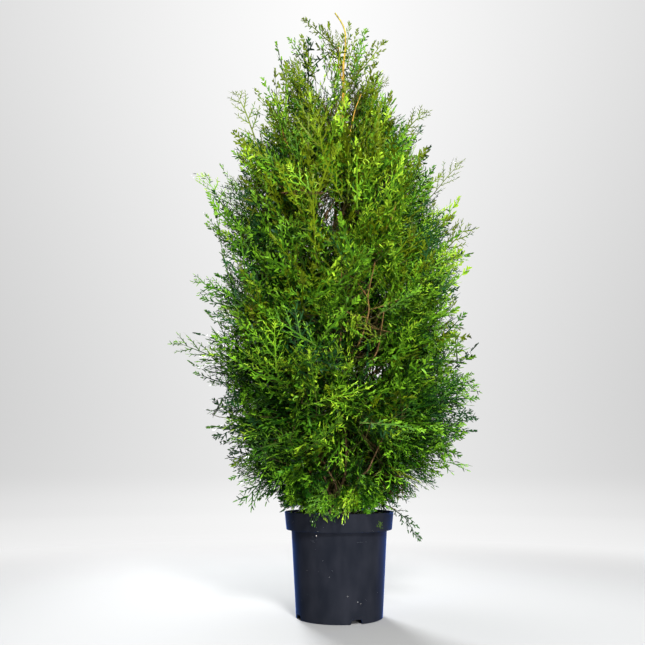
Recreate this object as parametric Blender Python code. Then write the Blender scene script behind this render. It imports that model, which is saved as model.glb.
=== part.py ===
"""A potted brabant arborvitae: pot, potting soil, trunk, boughs and masses of foliage.

Metres, +Z up. The origin is on the flat underside of the pot, at its middle, and the
plant's front looks along -Y. Azimuths are in degrees from +X towards +Y.
"""
import math
import random

import bmesh
import bpy
from mathutils import Matrix, Vector
from mathutils.bvhtree import BVHTree

# Pot, a moulded nursery container 250 mm across
POT_HEIGHT = 0.230
RIM_RADIUS = 0.1250
BAND_FOOT_RADIUS = 0.1208
BAND_HEIGHT = 0.0395
BODY_TOP_RADIUS = 0.1093
BASE_RADIUS = 0.0974
WALL = 0.0020
LIP = 0.0008
FLOOR_BOTTOM = 0.0110
FLOOR_THICKNESS = 0.0025
PAD_RADIUS = 0.030
PAD_DRAFT = 0.0015
FOOT_RING_WIDTH = 0.0035
POT_SEGMENTS = 36
SHARP_ANGLE = 25.0

# Drain notches in the foot ring, and the holes behind them
NOTCHES = 4
FIRST_NOTCH_AZIMUTH = -68.8
NOTCH_WIDTH = 0.0270
NOTCH_HEIGHT = 0.0098
NOTCH_TAPER = 0.80
NOTCH_DEPTH = 0.030
DRAIN_HOLE_RADIUS = 0.0065
DRAIN_HOLE_PLACE = 0.0780
DRAIN_SIDES = 12

# Soil
GAP = 0.0003
SOIL_TOP = 0.2220

# Trunk: its line as height, sideways and depthways place, and its taper
TRUNK_LINE = (
    (SOIL_TOP + GAP, -0.014, 0.000),
    (0.300, -0.002, 0.002),
    (0.360, 0.011, 0.003),
    (0.460, 0.008, -0.001),
    (0.650, -0.004, -0.006),
    (0.850, -0.010, -0.003),
    (0.970, -0.004, 0.003),
    (1.070, 0.009, 0.005),
    (1.200, 0.018, 0.001),
    (1.330, 0.016, -0.004),
    (1.440, 0.021, -0.003),
    (1.499, -0.005, 0.000),
)
TRUNK_TIP_RADIUS = 0.0013
TRUNK_RADIUS = 0.0072
TRUNK_TAPER = 1.10
FLARE_RADIUS = 0.0055
FLARE_HEIGHT = 0.018
TRUNK_RINGS = 20
TRUNK_RING_CROWDING = 1.25
TRUNK_SIDES = 8

# Crown: its dense outline as height, reach to the left and reach to the right
CROWN_OUTLINE = (
    (0.225, 0.160, 0.160),
    (0.285, 0.222, 0.220),
    (0.360, 0.270, 0.272),
    (0.420, 0.272, 0.302),
    (0.500, 0.286, 0.310),
    (0.600, 0.332, 0.297),
    (0.720, 0.300, 0.292),
    (0.850, 0.282, 0.272),
    (0.950, 0.306, 0.276),
    (1.050, 0.275, 0.240),
    (1.150, 0.225, 0.195),
    (1.250, 0.175, 0.122),
    (1.350, 0.140, 0.100),
    (1.430, 0.090, 0.060),
    (1.500, 0.012, 0.012),
)

# Where the outline applies: its top, and how deep inside it the stems end
CROWN_TOP = 1.470
STEM_DEPTH = 0.035
LEAST_STEM_SHARE = 0.20
OUTLINE_STEP = 0.025

# The angle at which sprays climb at each height: drooping at the crown's foot, upright at its top
SPRAY_CLIMBS = (
    (0.24, -38.0),
    (0.36, -8.0),
    (0.50, 14.0),
    (0.75, 28.0),
    (1.05, 42.0),
    (1.25, 62.0),
    (1.50, 84.0),
)

# Tips that stand out of the outline, as azimuth, reach from the pot's axis, and height
LONG_TIPS = (
    (180.0, 0.395, 0.627),
    (186.0, 0.347, 0.772),
    (176.0, 0.347, 1.066),
    (184.0, 0.260, 1.268),
    (168.0, 0.318, 0.462),
    (205.0, 0.262, 0.246),
    (10.0, 0.352, 0.521),
    (4.0, 0.334, 0.930),
    (356.0, 0.309, 1.078),
    (346.0, 0.226, 1.199),
    (338.0, 0.300, 0.330),
    (112.0, 0.345, 0.600),
    (270.0, 0.335, 0.560),
)
# Upright tips at the top of the crown, as x, y and height
TOP_TIPS = (
    (-0.022, 0.010, 1.482),
    (-0.091, -0.010, 1.478),
    (-0.160, 0.004, 1.420),
    (0.075, 0.010, 1.461),
    (0.124, -0.008, 1.419),
    (0.016, -0.056, 1.405),
    (-0.020, 0.080, 1.400),
    (-0.214, 0.010, 1.292),
    (0.150, -0.010, 1.233),
)

# Tiers of masses: height of their middles, how many, first azimuth and where their boughs root
TIERS = (
    (0.385, 6, 248.0, 0.258),
    (0.610, 7, 322.0, 0.330),
    (0.850, 6, 246.0, 0.530),
    (1.070, 4, 316.0, 0.780),
)
# Masses at the top, which grow from the trunk itself: name, middle, and where their stem roots
TOP_MASSES = (
    ("left_top", (-0.085, 0.014, 1.270), 1.110),
    ("right_top", (0.078, 0.040, 1.260), 1.085),
    ("front_top", (0.012, -0.066, 1.250), 1.065),
    ("leader", (0.004, 0.014, 1.400), 1.300),
)
MIDDLE_REACH = 0.56
ROOT_STAGGER = 0.050
TIER_STAGGER = 0.036
# Spaces are taller than wide, because the sprays climb
SPACE_STRETCH = 0.62
SPACE_STEP = 0.02

# Boughs and stems
BOUGH_ROOT_RADIUS = 0.0038
BOUGH_TIP_RADIUS = 0.0021
STEM_TIP_RADIUS = 0.0012
BOUGH_SHOULDER = 0.050
SHOULDER_RISE = 0.35
LEAST_BOUGH_CLIMB = 0.030
BOUGH_END_REACH = 0.60
BOUGH_END_DROP = 0.105
BOUGH_SPANS = 4
BOUGH_SIDES = 5
STEM_SPANS = 2
STEM_SIDES = 4
LIMB_CLEARANCE = 0.0010
LIMB_MARGIN = 0.0060
STEM_BEND = 0.035
# How stems start and where they end, on a bough and on the trunk itself
STEM_START = 0.030
STEM_SPREAD = 0.22
STEM_CLIMB = 0.100
TOP_STEM_START = 0.020
TOP_STEM_RISE = 0.040
TOP_STEM_SPREAD = 0.10
TOP_STEM_CLIMB = 0.085
TOP_STEM_SHARE = 0.60

# Foliage
GOLDEN_ANGLE = 180.0 * (3.0 - math.sqrt(5.0))
SPRAY_CHOICES = 900
SPRAY_SPACING = 0.099
HEIGHT_STEPS = 240
AZIMUTH_SHAKE = 6.0
HEIGHT_SHAKE = 0.012
LEAST_TIP_REACH = 0.88
MOST_TIP_REACH = 1.03
LONG_TIP_TRIES = 16
LONG_TIP_FREEDOM = 0.5
LONG_TIP_SPACING = 0.020
SPRAYS_PER_MASS = 7
SPRAY_LENGTH = 0.200
LEAST_LENGTH = 0.85
MOST_LENGTH = 1.10
# Half of a spray's toothed outline, as shares of its length and half width, root to tip
SPRAY_EDGE = ((0.40, 1.00), (0.42, 0.30), (0.74, 0.72), (0.72, 0.20))
SPRAY_STAGGER = 0.05
SPRAY_MIDDLE = 0.55
# Shorter, narrower and turned ways in which a spray may still fit
SPRAY_SHORTER = (1.0, 0.86, 0.74, 0.62, 0.50)
SPRAY_NARROWER = (1.0, 0.85, 0.70, 0.55, 0.40)
SPRAY_TURNS = (0.0, 30.0, -30.0, 60.0, -60.0, 90.0)
SPRAY_WIDTH = 0.146
SPRAY_THICKNESS = 0.0020
STALK_WIDTH = 0.0060
CLIMB_SPREAD = 15.0
AZIMUTH_SPREAD = 42.0
ROLL_SPREAD = 50.0
LEAST_FACING = 0.2
TWIG_ROOT_RADIUS = 0.0018
TWIG_TIP_RADIUS = 0.0011
TWIG_SUNK = 0.25
TWIG_SIDES = 3
TWIG_ANGLE = 40.0
TWIG_RUN_WEIGHT = 300.0
TWIG_STEPS = 20
SPACE_MARGIN = 0.0012
CORE_RADIUS = 0.078
CORE_STRETCH = 1.45
CORE_RINGS = 3
CORE_SIDES = 6
CORE_SHARE = 0.40
CORE_REACH = 0.70
CORE_MARGIN = 0.0045
CORE_LUMPS = 0.16
CORE_LEAST = 0.004
CORE_SHRINK = 0.94
CORE_RISE = 0.030
POT_CLEARANCE = 0.004
LOWEST_TIP = 0.262
HIGHEST_TIP = 1.450
SEED = 41

# Colours and roughness
PLASTIC = ((0.020, 0.022, 0.030), 0.42)
SOIL = ((0.035, 0.022, 0.014), 0.95)
BARK = ((0.115, 0.062, 0.034), 0.85)
FOLIAGE = ((0.060, 0.170, 0.022), 0.60)

UP = Vector((0.0, 0.0, 1.0))


def clear_scene():
    """Remove the objects that a new file starts with."""
    for item in list(bpy.data.objects):
        bpy.data.objects.remove(item)


def make_material(name, colour, roughness):
    """A plain material with the part's colour."""
    made = bpy.data.materials.new(name)
    made.use_nodes = True
    shader = made.node_tree.nodes["Principled BSDF"]
    shader.inputs["Base Color"].default_value = (*colour, 1.0)
    shader.inputs["Roughness"].default_value = roughness
    shader.inputs["Metallic"].default_value = 0.0
    return made


def add_object(name, shape, material):
    """Make an object from vertices and faces."""
    vertices, faces = shape
    mesh = bpy.data.meshes.new(name)
    mesh.from_pydata([tuple(point) for point in vertices], [], faces)
    mesh.materials.append(material)
    item = bpy.data.objects.new(name, mesh)
    bpy.context.scene.collection.objects.link(item)
    return item


def join(item, others, operation):
    """Fuse a group of objects to an object, or cut them from it, in one Boolean."""
    group = bpy.data.collections.new(item.name + "_group")
    for other in others:
        group.objects.link(other)
    modifier = item.modifiers.new("joined", "BOOLEAN")
    modifier.operation = operation
    modifier.solver = "EXACT"
    modifier.operand_type = "COLLECTION"
    modifier.collection = group
    bpy.context.view_layer.update()
    state = bpy.context.evaluated_depsgraph_get()
    joined = bpy.data.meshes.new_from_object(item.evaluated_get(state))
    item.modifiers.clear()
    item.data = joined
    for other in others:
        bpy.data.objects.remove(other)
    bpy.data.collections.remove(group)


def keep_largest_body(item):
    """Drop loose scraps and the walls of sealed hollows, which fills those."""
    shape = bmesh.new()
    shape.from_mesh(item.data)
    unseen = set(shape.verts)
    bodies = []
    while unseen:
        open_ends = [unseen.pop()]
        body = set(open_ends)
        while open_ends:
            for edge in open_ends.pop().link_edges:
                for vertex in edge.verts:
                    if vertex in unseen:
                        unseen.remove(vertex)
                        body.add(vertex)
                        open_ends.append(vertex)
        bodies.append(body)
    bodies.sort(key=len)
    for body in bodies[:-1]:
        bmesh.ops.delete(shape, geom=list(body), context="VERTS")
    shape.to_mesh(item.data)
    shape.free()


def lerp(first, second, share):
    """The value or point a share of the way between two."""
    return first + (second - first) * share


def along(rows, place):
    """Read a table of rows at a place in its first column, with straight runs between rows."""
    if place <= rows[0][0]:
        return rows[0][1:]
    for low, high in zip(rows, rows[1:]):
        if place <= high[0]:
            share = (place - low[0]) / (high[0] - low[0])
            return tuple(lerp(a, b, share) for a, b in zip(low[1:], high[1:]))
    return rows[-1][1:]


def smooth_through(points, place):
    """A point on the smooth curve through equally spaced points, at a place from 0 to 1."""
    spans = len(points) - 1
    span = min(int(place * spans), spans - 1)
    share = place * spans - span
    before = points[max(span - 1, 0)]
    start = points[span]
    end = points[span + 1]
    after = points[min(span + 2, spans)]
    bend = 2 * before - 5 * start + 4 * end - after
    twist = 3 * (start - end) + after - before
    return start + 0.5 * share * ((end - before) + share * (bend + share * twist))


def bezier(start, first, second, end, share):
    """A point on a cubic curve with two handles."""
    rest = 1.0 - share
    near = rest ** 3 * start + 3 * rest ** 2 * share * first
    far = 3 * rest * share ** 2 * second + share ** 3 * end
    return near + far


def heading(azimuth):
    """The level direction of an azimuth in degrees."""
    angle = math.radians(azimuth)
    return Vector((math.cos(angle), math.sin(angle), 0.0))


def growth_direction(azimuth, climb):
    """A direction at an azimuth that climbs by an angle in degrees."""
    angle = math.radians(climb)
    return heading(azimuth) * math.cos(angle) + UP * math.sin(angle)


def turned(profile, segments):
    """A solid of revolution from a profile of radius and height that starts and ends on the axis."""
    rings = profile[1:-1]
    vertices = []
    for radius, height in rings:
        for step in range(segments):
            vertices.append(heading(360.0 * step / segments) * radius + UP * height)
    start = len(vertices)
    end = start + 1
    vertices.append(UP * profile[0][1])
    vertices.append(UP * profile[-1][1])
    faces = []
    last_ring = (len(rings) - 1) * segments
    for step in range(segments):
        after = (step + 1) % segments
        faces.append((start, after, step))
        for ring in range(0, last_ring, segments):
            above = ring + segments
            faces.append((ring + step, ring + after, above + after, above + step))
        faces.append((end, last_ring + step, last_ring + after))
    return vertices, faces


def tube(points, radii, sides, root_normal=None):
    """A closed round tube along points, whose first end may face a given way."""
    vertices = []
    faces = []
    side_way = None
    for number, (point, radius) in enumerate(zip(points, radii)):
        before = points[max(number - 1, 0)]
        after = points[min(number + 1, len(points) - 1)]
        forward = (after - before).normalized()
        if number == 0 and root_normal is not None:
            forward = root_normal.normalized()
        if side_way is None:
            side_way = forward.orthogonal()
        side_way = (side_way - forward * side_way.dot(forward)).normalized()
        other_way = forward.cross(side_way)
        for side in range(sides):
            angle = 2.0 * math.pi * side / sides
            offset = side_way * math.cos(angle) + other_way * math.sin(angle)
            vertices.append(point + offset * radius)
    for ring in range(len(points) - 1):
        for side in range(sides):
            after = (side + 1) % sides
            low = ring * sides
            high = low + sides
            faces.append((low + side, low + after, high + after, high + side))
    last = (len(points) - 1) * sides
    faces.append(tuple(reversed(range(sides))))
    faces.append(tuple(range(last, last + sides)))
    return vertices, faces


def pot_profile():
    """The pot's wall, band, floor and foot, from the middle of its underside round to the inside."""
    band_bottom = POT_HEIGHT - BAND_HEIGHT
    floor_top = FLOOR_BOTTOM + FLOOR_THICKNESS
    foot_inner = BASE_RADIUS - FOOT_RING_WIDTH
    return (
        (0.0, 0.0),
        (PAD_RADIUS, 0.0),
        (PAD_RADIUS + PAD_DRAFT, FLOOR_BOTTOM),
        (foot_inner, FLOOR_BOTTOM),
        (foot_inner, 0.0),
        (BASE_RADIUS - LIP, 0.0),
        (BASE_RADIUS, LIP),
        (BODY_TOP_RADIUS, band_bottom),
        (BAND_FOOT_RADIUS - LIP, band_bottom),
        (BAND_FOOT_RADIUS, band_bottom + LIP),
        (RIM_RADIUS, POT_HEIGHT - LIP),
        (RIM_RADIUS - LIP, POT_HEIGHT),
        (RIM_RADIUS - WALL, POT_HEIGHT),
        (BAND_FOOT_RADIUS - WALL, band_bottom + WALL),
        (BODY_TOP_RADIUS - WALL, band_bottom + WALL),
        (BASE_RADIUS - WALL, floor_top),
        (0.0, floor_top),
    )


def notch_cutter(azimuth, material):
    """A bar with slanting sides that cuts one drain notch through the foot ring."""
    outward = heading(azimuth)
    across = heading(azimuth + 90.0)
    section = (
        (-NOTCH_WIDTH / 2, 0.0),
        (-NOTCH_WIDTH / 2 * NOTCH_TAPER, NOTCH_HEIGHT),
        (NOTCH_WIDTH / 2 * NOTCH_TAPER, NOTCH_HEIGHT),
        (NOTCH_WIDTH / 2, 0.0),
        (NOTCH_WIDTH / 2, -NOTCH_HEIGHT),
        (-NOTCH_WIDTH / 2, -NOTCH_HEIGHT),
    )
    vertices = []
    for reach in (BASE_RADIUS - NOTCH_DEPTH / 2, BASE_RADIUS + NOTCH_DEPTH / 2):
        for sideways, height in section:
            vertices.append(outward * reach + across * sideways + UP * height)
    count = len(section)
    faces = [tuple(range(count)), tuple(reversed(range(count, 2 * count)))]
    for corner in range(count):
        after = (corner + 1) % count
        faces.append((after, corner, corner + count, after + count))
    cutter = add_object("notch", (vertices, faces), material)
    face_outwards(cutter)
    return cutter


def drain_cutter(azimuth, material):
    """A round bar that cuts one drain hole through the floor."""
    middle = heading(azimuth) * DRAIN_HOLE_PLACE
    ends = (middle + UP * NOTCH_HEIGHT, middle + UP * (FLOOR_BOTTOM + 2 * FLOOR_THICKNESS))
    radii = (DRAIN_HOLE_RADIUS, DRAIN_HOLE_RADIUS)
    return add_object("drain", tube(ends, radii, DRAIN_SIDES), material)


def face_outwards(item):
    """Turn the faces of a closed mesh outwards."""
    shape = bmesh.new()
    shape.from_mesh(item.data)
    bmesh.ops.recalc_face_normals(shape, faces=shape.faces)
    shape.to_mesh(item.data)
    shape.free()


def make_pot(material):
    """The pot as one turned shell with four notches and four drain holes."""
    pot = add_object("pot", turned(pot_profile(), POT_SEGMENTS), material)
    cutters = []
    for number in range(NOTCHES):
        azimuth = FIRST_NOTCH_AZIMUTH + 360.0 * number / NOTCHES
        cutters.append(notch_cutter(azimuth, material))
        cutters.append(drain_cutter(azimuth, material))
    join(pot, cutters, "DIFFERENCE")
    pot.data.shade_smooth()
    pot.data.set_sharp_from_angle(angle=math.radians(SHARP_ANGLE))


def make_soil(material):
    """The soil that fills the pot to just below its rim, with a flat top."""
    inside = WALL + GAP
    shelf = POT_HEIGHT - BAND_HEIGHT + WALL + GAP
    floor_top = FLOOR_BOTTOM + FLOOR_THICKNESS + GAP
    top_share = (SOIL_TOP - shelf) / (POT_HEIGHT - shelf)
    profile = (
        (0.0, floor_top),
        (BASE_RADIUS - inside, floor_top),
        (BODY_TOP_RADIUS - inside, shelf),
        (BAND_FOOT_RADIUS - inside, shelf),
        (lerp(BAND_FOOT_RADIUS, RIM_RADIUS, top_share) - inside, SOIL_TOP),
        (0.0, SOIL_TOP),
    )
    add_object("potting_soil", turned(profile, POT_SEGMENTS), material)


def trunk_rings():
    """The trunk's ring centres and radii from the flat cut at the soil up to the leader's tip."""
    line = [Vector((x, y, height)) for height, x, y in TRUNK_LINE]
    heights = [height for height, x, y in TRUNK_LINE]
    foot = heights[0]
    top = heights[-1]
    points = []
    radii = []
    for ring in range(TRUNK_RINGS):
        share = (ring / (TRUNK_RINGS - 1)) ** TRUNK_RING_CROWDING
        height = lerp(foot, top, share)
        span = max(number for number, value in enumerate(heights[:-1]) if value <= height)
        within = (height - heights[span]) / (heights[span + 1] - heights[span])
        point = smooth_through(line, (span + within) / (len(line) - 1))
        points.append(Vector((point.x, point.y, height)))
        taper = (1.0 - share) ** TRUNK_TAPER
        flare = FLARE_RADIUS * math.exp(-(height - foot) / FLARE_HEIGHT)
        radii.append(TRUNK_TIP_RADIUS + (TRUNK_RADIUS - TRUNK_TIP_RADIUS) * taper + flare)
    return points, radii


class Trunk:
    """The trunk's line, for whatever roots on it."""

    def __init__(self):
        self.points, self.radii = trunk_rings()

    def at(self, height):
        """Centre, direction and radius at a height."""
        span = 0
        while span < len(self.points) - 2 and self.points[span + 1].z < height:
            span += 1
        low = self.points[span]
        high = self.points[span + 1]
        share = (height - low.z) / (high.z - low.z)
        centre = lerp(low, high, share)
        radius = lerp(self.radii[span], self.radii[span + 1], share)
        return centre, (high - low).normalized(), radius

    def root(self, height, azimuth):
        """Where a limb meets the trunk's side, and the way it faces there."""
        centre, direction, radius = self.at(height)
        way = heading(azimuth)
        way = (way - direction * way.dot(direction)).normalized()
        return centre + way * (radius + GAP), way


def crown_reach(azimuth, height):
    """How far the dense crown reaches from the pot's axis."""
    left, right = along(CROWN_OUTLINE, height)
    return lerp(left, right, (1.0 + math.cos(math.radians(azimuth))) / 2.0)


def in_crown(point, margin):
    """Whether a point lies within the crown's outline by a margin."""
    azimuth = math.degrees(math.atan2(point.y, point.x))
    reach = crown_reach(azimuth, point.z + margin)
    return point.z < CROWN_TOP and math.hypot(point.x, point.y) < reach - margin


class Limb:
    """A line of points with a taper: a bough, or the stem that carries a mass's twigs."""

    def __init__(self, points, radii, root_normal=None):
        self.points = points
        self.radii = radii
        self.root_normal = root_normal

    def shape(self, sides, extra=0.0):
        radii = [radius + extra for radius in self.radii]
        return tube(self.points, radii, sides, self.root_normal)

    def at(self, share):
        """Point and direction at a share of the limb's length."""
        place = share * (len(self.points) - 1)
        span = min(int(place), len(self.points) - 2)
        low = self.points[span]
        high = self.points[span + 1]
        return lerp(low, high, place - span), (high - low).normalized()


class Mass:
    """One mass of foliage: its middle, the limb that carries it, its stem and its space."""

    def __init__(self, name, middle, azimuth, root_height, has_bough):
        self.name = name
        self.middle = middle
        self.azimuth = azimuth
        self.root_height = root_height
        self.has_bough = has_bough
        self.bough = None
        self.stem = None
        self.planes = []
        self.sprays = []


def curve_points(start, first, second, end, spans):
    """Points along a cubic curve."""
    return [bezier(start, first, second, end, step / spans) for step in range(spans + 1)]


def share_space(masses):
    """Give each mass the flat-sided space that lies nearer to its middle than to any other."""
    for mass in masses:
        for other in masses:
            if other is not mass:
                apart = other.middle - mass.middle
                normal = Vector((apart.x, apart.y, apart.z * SPACE_STRETCH ** 2)).normalized()
                mass.planes.append((normal, mass.middle + apart / 2))


def in_space(mass, points, margin=SPACE_MARGIN):
    """Whether all points lie in the mass's space, clear of its borders."""
    for normal, border in mass.planes:
        for point in points:
            if normal.dot(point - border) > -margin:
                return False
    return True


def within_space(mass, point):
    """A point brought towards the mass's middle until it is well inside its space."""
    share = 1.0
    while not in_space(mass, [lerp(mass.middle, point, share)], LIMB_MARGIN):
        share -= SPACE_STEP
    return lerp(mass.middle, point, share)


def within_outline(mass, point):
    """A point brought towards the mass's middle until it lies well within the crown's outline."""
    share = 1.0
    while share > LEAST_STEM_SHARE and not in_crown(lerp(mass.middle, point, share), STEM_DEPTH):
        share -= OUTLINE_STEP
    return lerp(mass.middle, point, share)


def taper(root, tip, count):
    """Evenly falling radii."""
    return [lerp(root, tip, number / (count - 1)) for number in range(count)]


def plan_bough(mass, trunk):
    """A bough that leaves the trunk almost level and bends upwards to where its mass begins."""
    start, way = trunk.root(mass.root_height, mass.azimuth)
    level = Vector((mass.middle.x, mass.middle.y, 0.0)) * BOUGH_END_REACH
    height = max(mass.middle.z - BOUGH_END_DROP, mass.root_height + LEAST_BOUGH_CLIMB)
    end = within_space(mass, level + UP * height)
    to_middle = (mass.middle - end).normalized()
    shoulder = start + way * BOUGH_SHOULDER + UP * BOUGH_SHOULDER * SHOULDER_RISE
    points = curve_points(start, shoulder, end - to_middle * BOUGH_SHOULDER, end, BOUGH_SPANS)
    radii = taper(BOUGH_ROOT_RADIUS, BOUGH_TIP_RADIUS, len(points))
    mass.bough = Limb(points, radii, way)


def plan_stem(mass, trunk):
    """The mass's stem, from its bough's end or the trunk, through its middle, to near its outside."""
    outward = heading(mass.azimuth) * crown_reach(mass.azimuth, mass.middle.z)
    if mass.bough:
        last = mass.bough.points[-1]
        way = (last - mass.bough.points[-2]).normalized()
        start = last + way * GAP
        first = start + way * STEM_START
        radius = BOUGH_TIP_RADIUS
        end = mass.middle + outward * STEM_SPREAD + UP * STEM_CLIMB
    else:
        start, way = trunk.root(mass.root_height, mass.azimuth)
        first = start + way * TOP_STEM_START + UP * TOP_STEM_RISE
        radius = trunk.at(mass.root_height)[2] * TOP_STEM_SHARE
        end = mass.middle + outward * TOP_STEM_SPREAD + UP * TOP_STEM_CLIMB
    end = within_outline(mass, within_space(mass, end))
    bend = UP * STEM_BEND
    inner = curve_points(start, first, mass.middle - bend, mass.middle, STEM_SPANS)
    outer = curve_points(mass.middle, mass.middle + bend, end - bend, end, STEM_SPANS)
    points = inner + outer[1:]
    mass.stem = Limb(points, taper(radius, STEM_TIP_RADIUS, len(points)), way)


def place_masses(trunk):
    """Place the masses, tier by tier, with the height at which each one's limb roots."""
    masses = []
    for tier, (height, count, first, root_height) in enumerate(TIERS, start=1):
        for number in range(count):
            azimuth = first + 360.0 * number / count
            middle = heading(azimuth) * crown_reach(azimuth, height) * MIDDLE_REACH
            middle += UP * (height + TIER_STAGGER * (-1) ** number)
            root = root_height + ROOT_STAGGER * number / (count - 1)
            masses.append(Mass("%d_%d" % (tier, number + 1), middle, azimuth, root, True))
    for name, middle, root in TOP_MASSES:
        azimuth = math.degrees(math.atan2(middle[1], middle[0] - trunk.at(root)[0].x))
        masses.append(Mass(name, Vector(middle), azimuth, root, False))
    return masses


def plan_limbs(masses, trunk):
    """Give each mass its bough, if it has one, and its stem."""
    for mass in masses:
        if mass.has_bough:
            plan_bough(mass, trunk)
        plan_stem(mass, trunk)


def crown_tips(rng):
    """Tips to choose from, as place and azimuth: the long ones, the top ones, and many spread evenly."""
    tips = [(heading(azimuth) * reach + UP * height, azimuth) for azimuth, reach, height in LONG_TIPS]
    for x, y, height in TOP_TIPS:
        tips.append((Vector((x, y, height)), math.degrees(math.atan2(y, x))))
    heights = [lerp(LOWEST_TIP, HIGHEST_TIP, (step + 0.5) / HEIGHT_STEPS) for step in range(HEIGHT_STEPS)]
    girths = [crown_reach(0.0, height) + crown_reach(180.0, height) for height in heights]
    passed = 0.0
    number = 0
    for height, girth in zip(heights, girths):
        passed += girth / sum(girths) * SPRAY_CHOICES
        while number < passed - 0.5:
            azimuth = (number * GOLDEN_ANGLE + rng.uniform(-AZIMUTH_SHAKE, AZIMUTH_SHAKE)) % 360.0
            place = height + rng.uniform(-HEIGHT_SHAKE, HEIGHT_SHAKE)
            reach = crown_reach(azimuth, place) * rng.uniform(LEAST_TIP_REACH, MOST_TIP_REACH)
            tips.append((heading(azimuth) * reach + UP * place, azimuth))
            number += 1
    return tips


class Spray:
    """One spray to be grown: its tip, its root end and the way it faces."""

    def __init__(self, tip, azimuth, rng, source=None):
        climb = along(SPRAY_CLIMBS, tip.z)[0] + rng.uniform(-CLIMB_SPREAD, CLIMB_SPREAD)
        self.growth = growth_direction(azimuth + rng.uniform(-AZIMUTH_SPREAD, AZIMUTH_SPREAD), climb)
        self.spacing = SPRAY_SPACING
        if source:
            self.growth = (self.growth * LONG_TIP_FREEDOM + (tip - source).normalized()).normalized()
            self.spacing = LONG_TIP_SPACING
        self.azimuth = azimuth
        self.tip = tip
        self.length = SPRAY_LENGTH * rng.uniform(LEAST_LENGTH, MOST_LENGTH)
        self.base = tip - self.growth * self.length
        self.roll = rng.uniform(-ROLL_SPREAD, ROLL_SPREAD)

    def normal(self, turn):
        """The way the blade's flat side faces: outwards, rolled by its own angle and a turn."""
        outward = heading(self.azimuth)
        facing = outward - self.growth * outward.dot(self.growth)
        if facing.length < LEAST_FACING:
            facing = self.growth.orthogonal()
        return Matrix.Rotation(math.radians(self.roll + turn), 3, self.growth) @ facing.normalized()


def distance_in_space(mass, point):
    """How far a point is from a mass's middle, as the spaces measure it."""
    apart = point - mass.middle
    return math.hypot(apart.x, apart.y, apart.z * SPACE_STRETCH)


def nearest_mass(masses, point):
    return min(masses, key=lambda mass: distance_in_space(mass, point))


def deal_sprays(masses, tips, rng):
    """Give each long tip to the mass that it lies in, and each other spray to the mass nearest to it."""
    long_tips = len(LONG_TIPS) + len(TOP_TIPS)
    for tip, azimuth in tips[:long_tips]:
        nearest = nearest_mass(masses, tip)
        for _ in range(LONG_TIP_TRIES):
            nearest.sprays.append(Spray(tip, azimuth, rng, nearest.middle))
    others = tips[long_tips:]
    rng.shuffle(others)
    for tip, azimuth in others:
        spray = Spray(tip, azimuth, rng)
        nearest_mass(masses, lerp(spray.base, tip, SPRAY_MIDDLE)).sprays.append(spray)


def spray_outline(length, width):
    """The toothed outline of a spray along +X: side shoots that point forward, and a tip."""
    right = [(0.0, -STALK_WIDTH / 2)]
    right.extend((length * share, -side * width / 2) for share, side in SPRAY_EDGE)
    left = [(length * (share - SPRAY_STAGGER), side * width / 2) for share, side in reversed(SPRAY_EDGE)]
    left.append((0.0, STALK_WIDTH / 2))
    return right + [(length, 0.0)] + left


def spray_shape(base, tip, normal, width):
    """A thin toothed blade from its root to its tip."""
    forward = (tip - base).normalized()
    across = normal.cross(forward).normalized()
    face = forward.cross(across)
    vertices = []
    outline = spray_outline((tip - base).length, width)
    for half in (-SPRAY_THICKNESS / 2, SPRAY_THICKNESS / 2):
        for x, y in outline:
            vertices.append(base + forward * x + across * y + face * half)
    count = len(outline)
    faces = [tuple(reversed(range(count))), tuple(range(count, 2 * count))]
    for corner in range(count):
        after = (corner + 1) % count
        faces.append((corner, after, after + count, corner + count))
    return vertices, faces


def branch_point(stem, base):
    """The place on a stem from which a twig to a spray's root end leaves nearest to its angle."""
    best = None
    for step in range(2, TWIG_STEPS):
        point, direction = stem.at(step / TWIG_STEPS)
        run = base - point
        miss = abs(math.degrees(direction.angle(run, 0.0)) - TWIG_ANGLE) + TWIG_RUN_WEIGHT * run.length
        if best is None or miss < best[0]:
            best = (miss, point)
    return best[1]


def is_clear(shape, obstacles):
    """Whether a shape keeps off every limb and the pot."""
    tree = BVHTree.FromPolygons(*shape)
    return not any(tree.overlap(obstacle) for obstacle in obstacles)


def grow_spray(mass, spray, obstacles):
    """The blade and twig of one spray, shortened, narrowed or turned until they fit, or nothing."""
    for share in SPRAY_SHORTER:
        base = lerp(spray.tip, spray.base, share)
        root = branch_point(mass.stem, base)
        inner = lerp(base, spray.tip, TWIG_SUNK)
        twig = tube((root, inner), (TWIG_ROOT_RADIUS, TWIG_TIP_RADIUS), TWIG_SIDES)
        if not in_space(mass, twig[0]) or not is_clear(twig, obstacles):
            continue
        for narrower in SPRAY_NARROWER:
            width = SPRAY_WIDTH * narrower * share * spray.length / SPRAY_LENGTH
            for turn in SPRAY_TURNS:
                blade = spray_shape(base, spray.tip, spray.normal(turn), width)
                if in_space(mass, blade[0]) and is_clear(blade, obstacles):
                    return blade, twig
    return None


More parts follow.
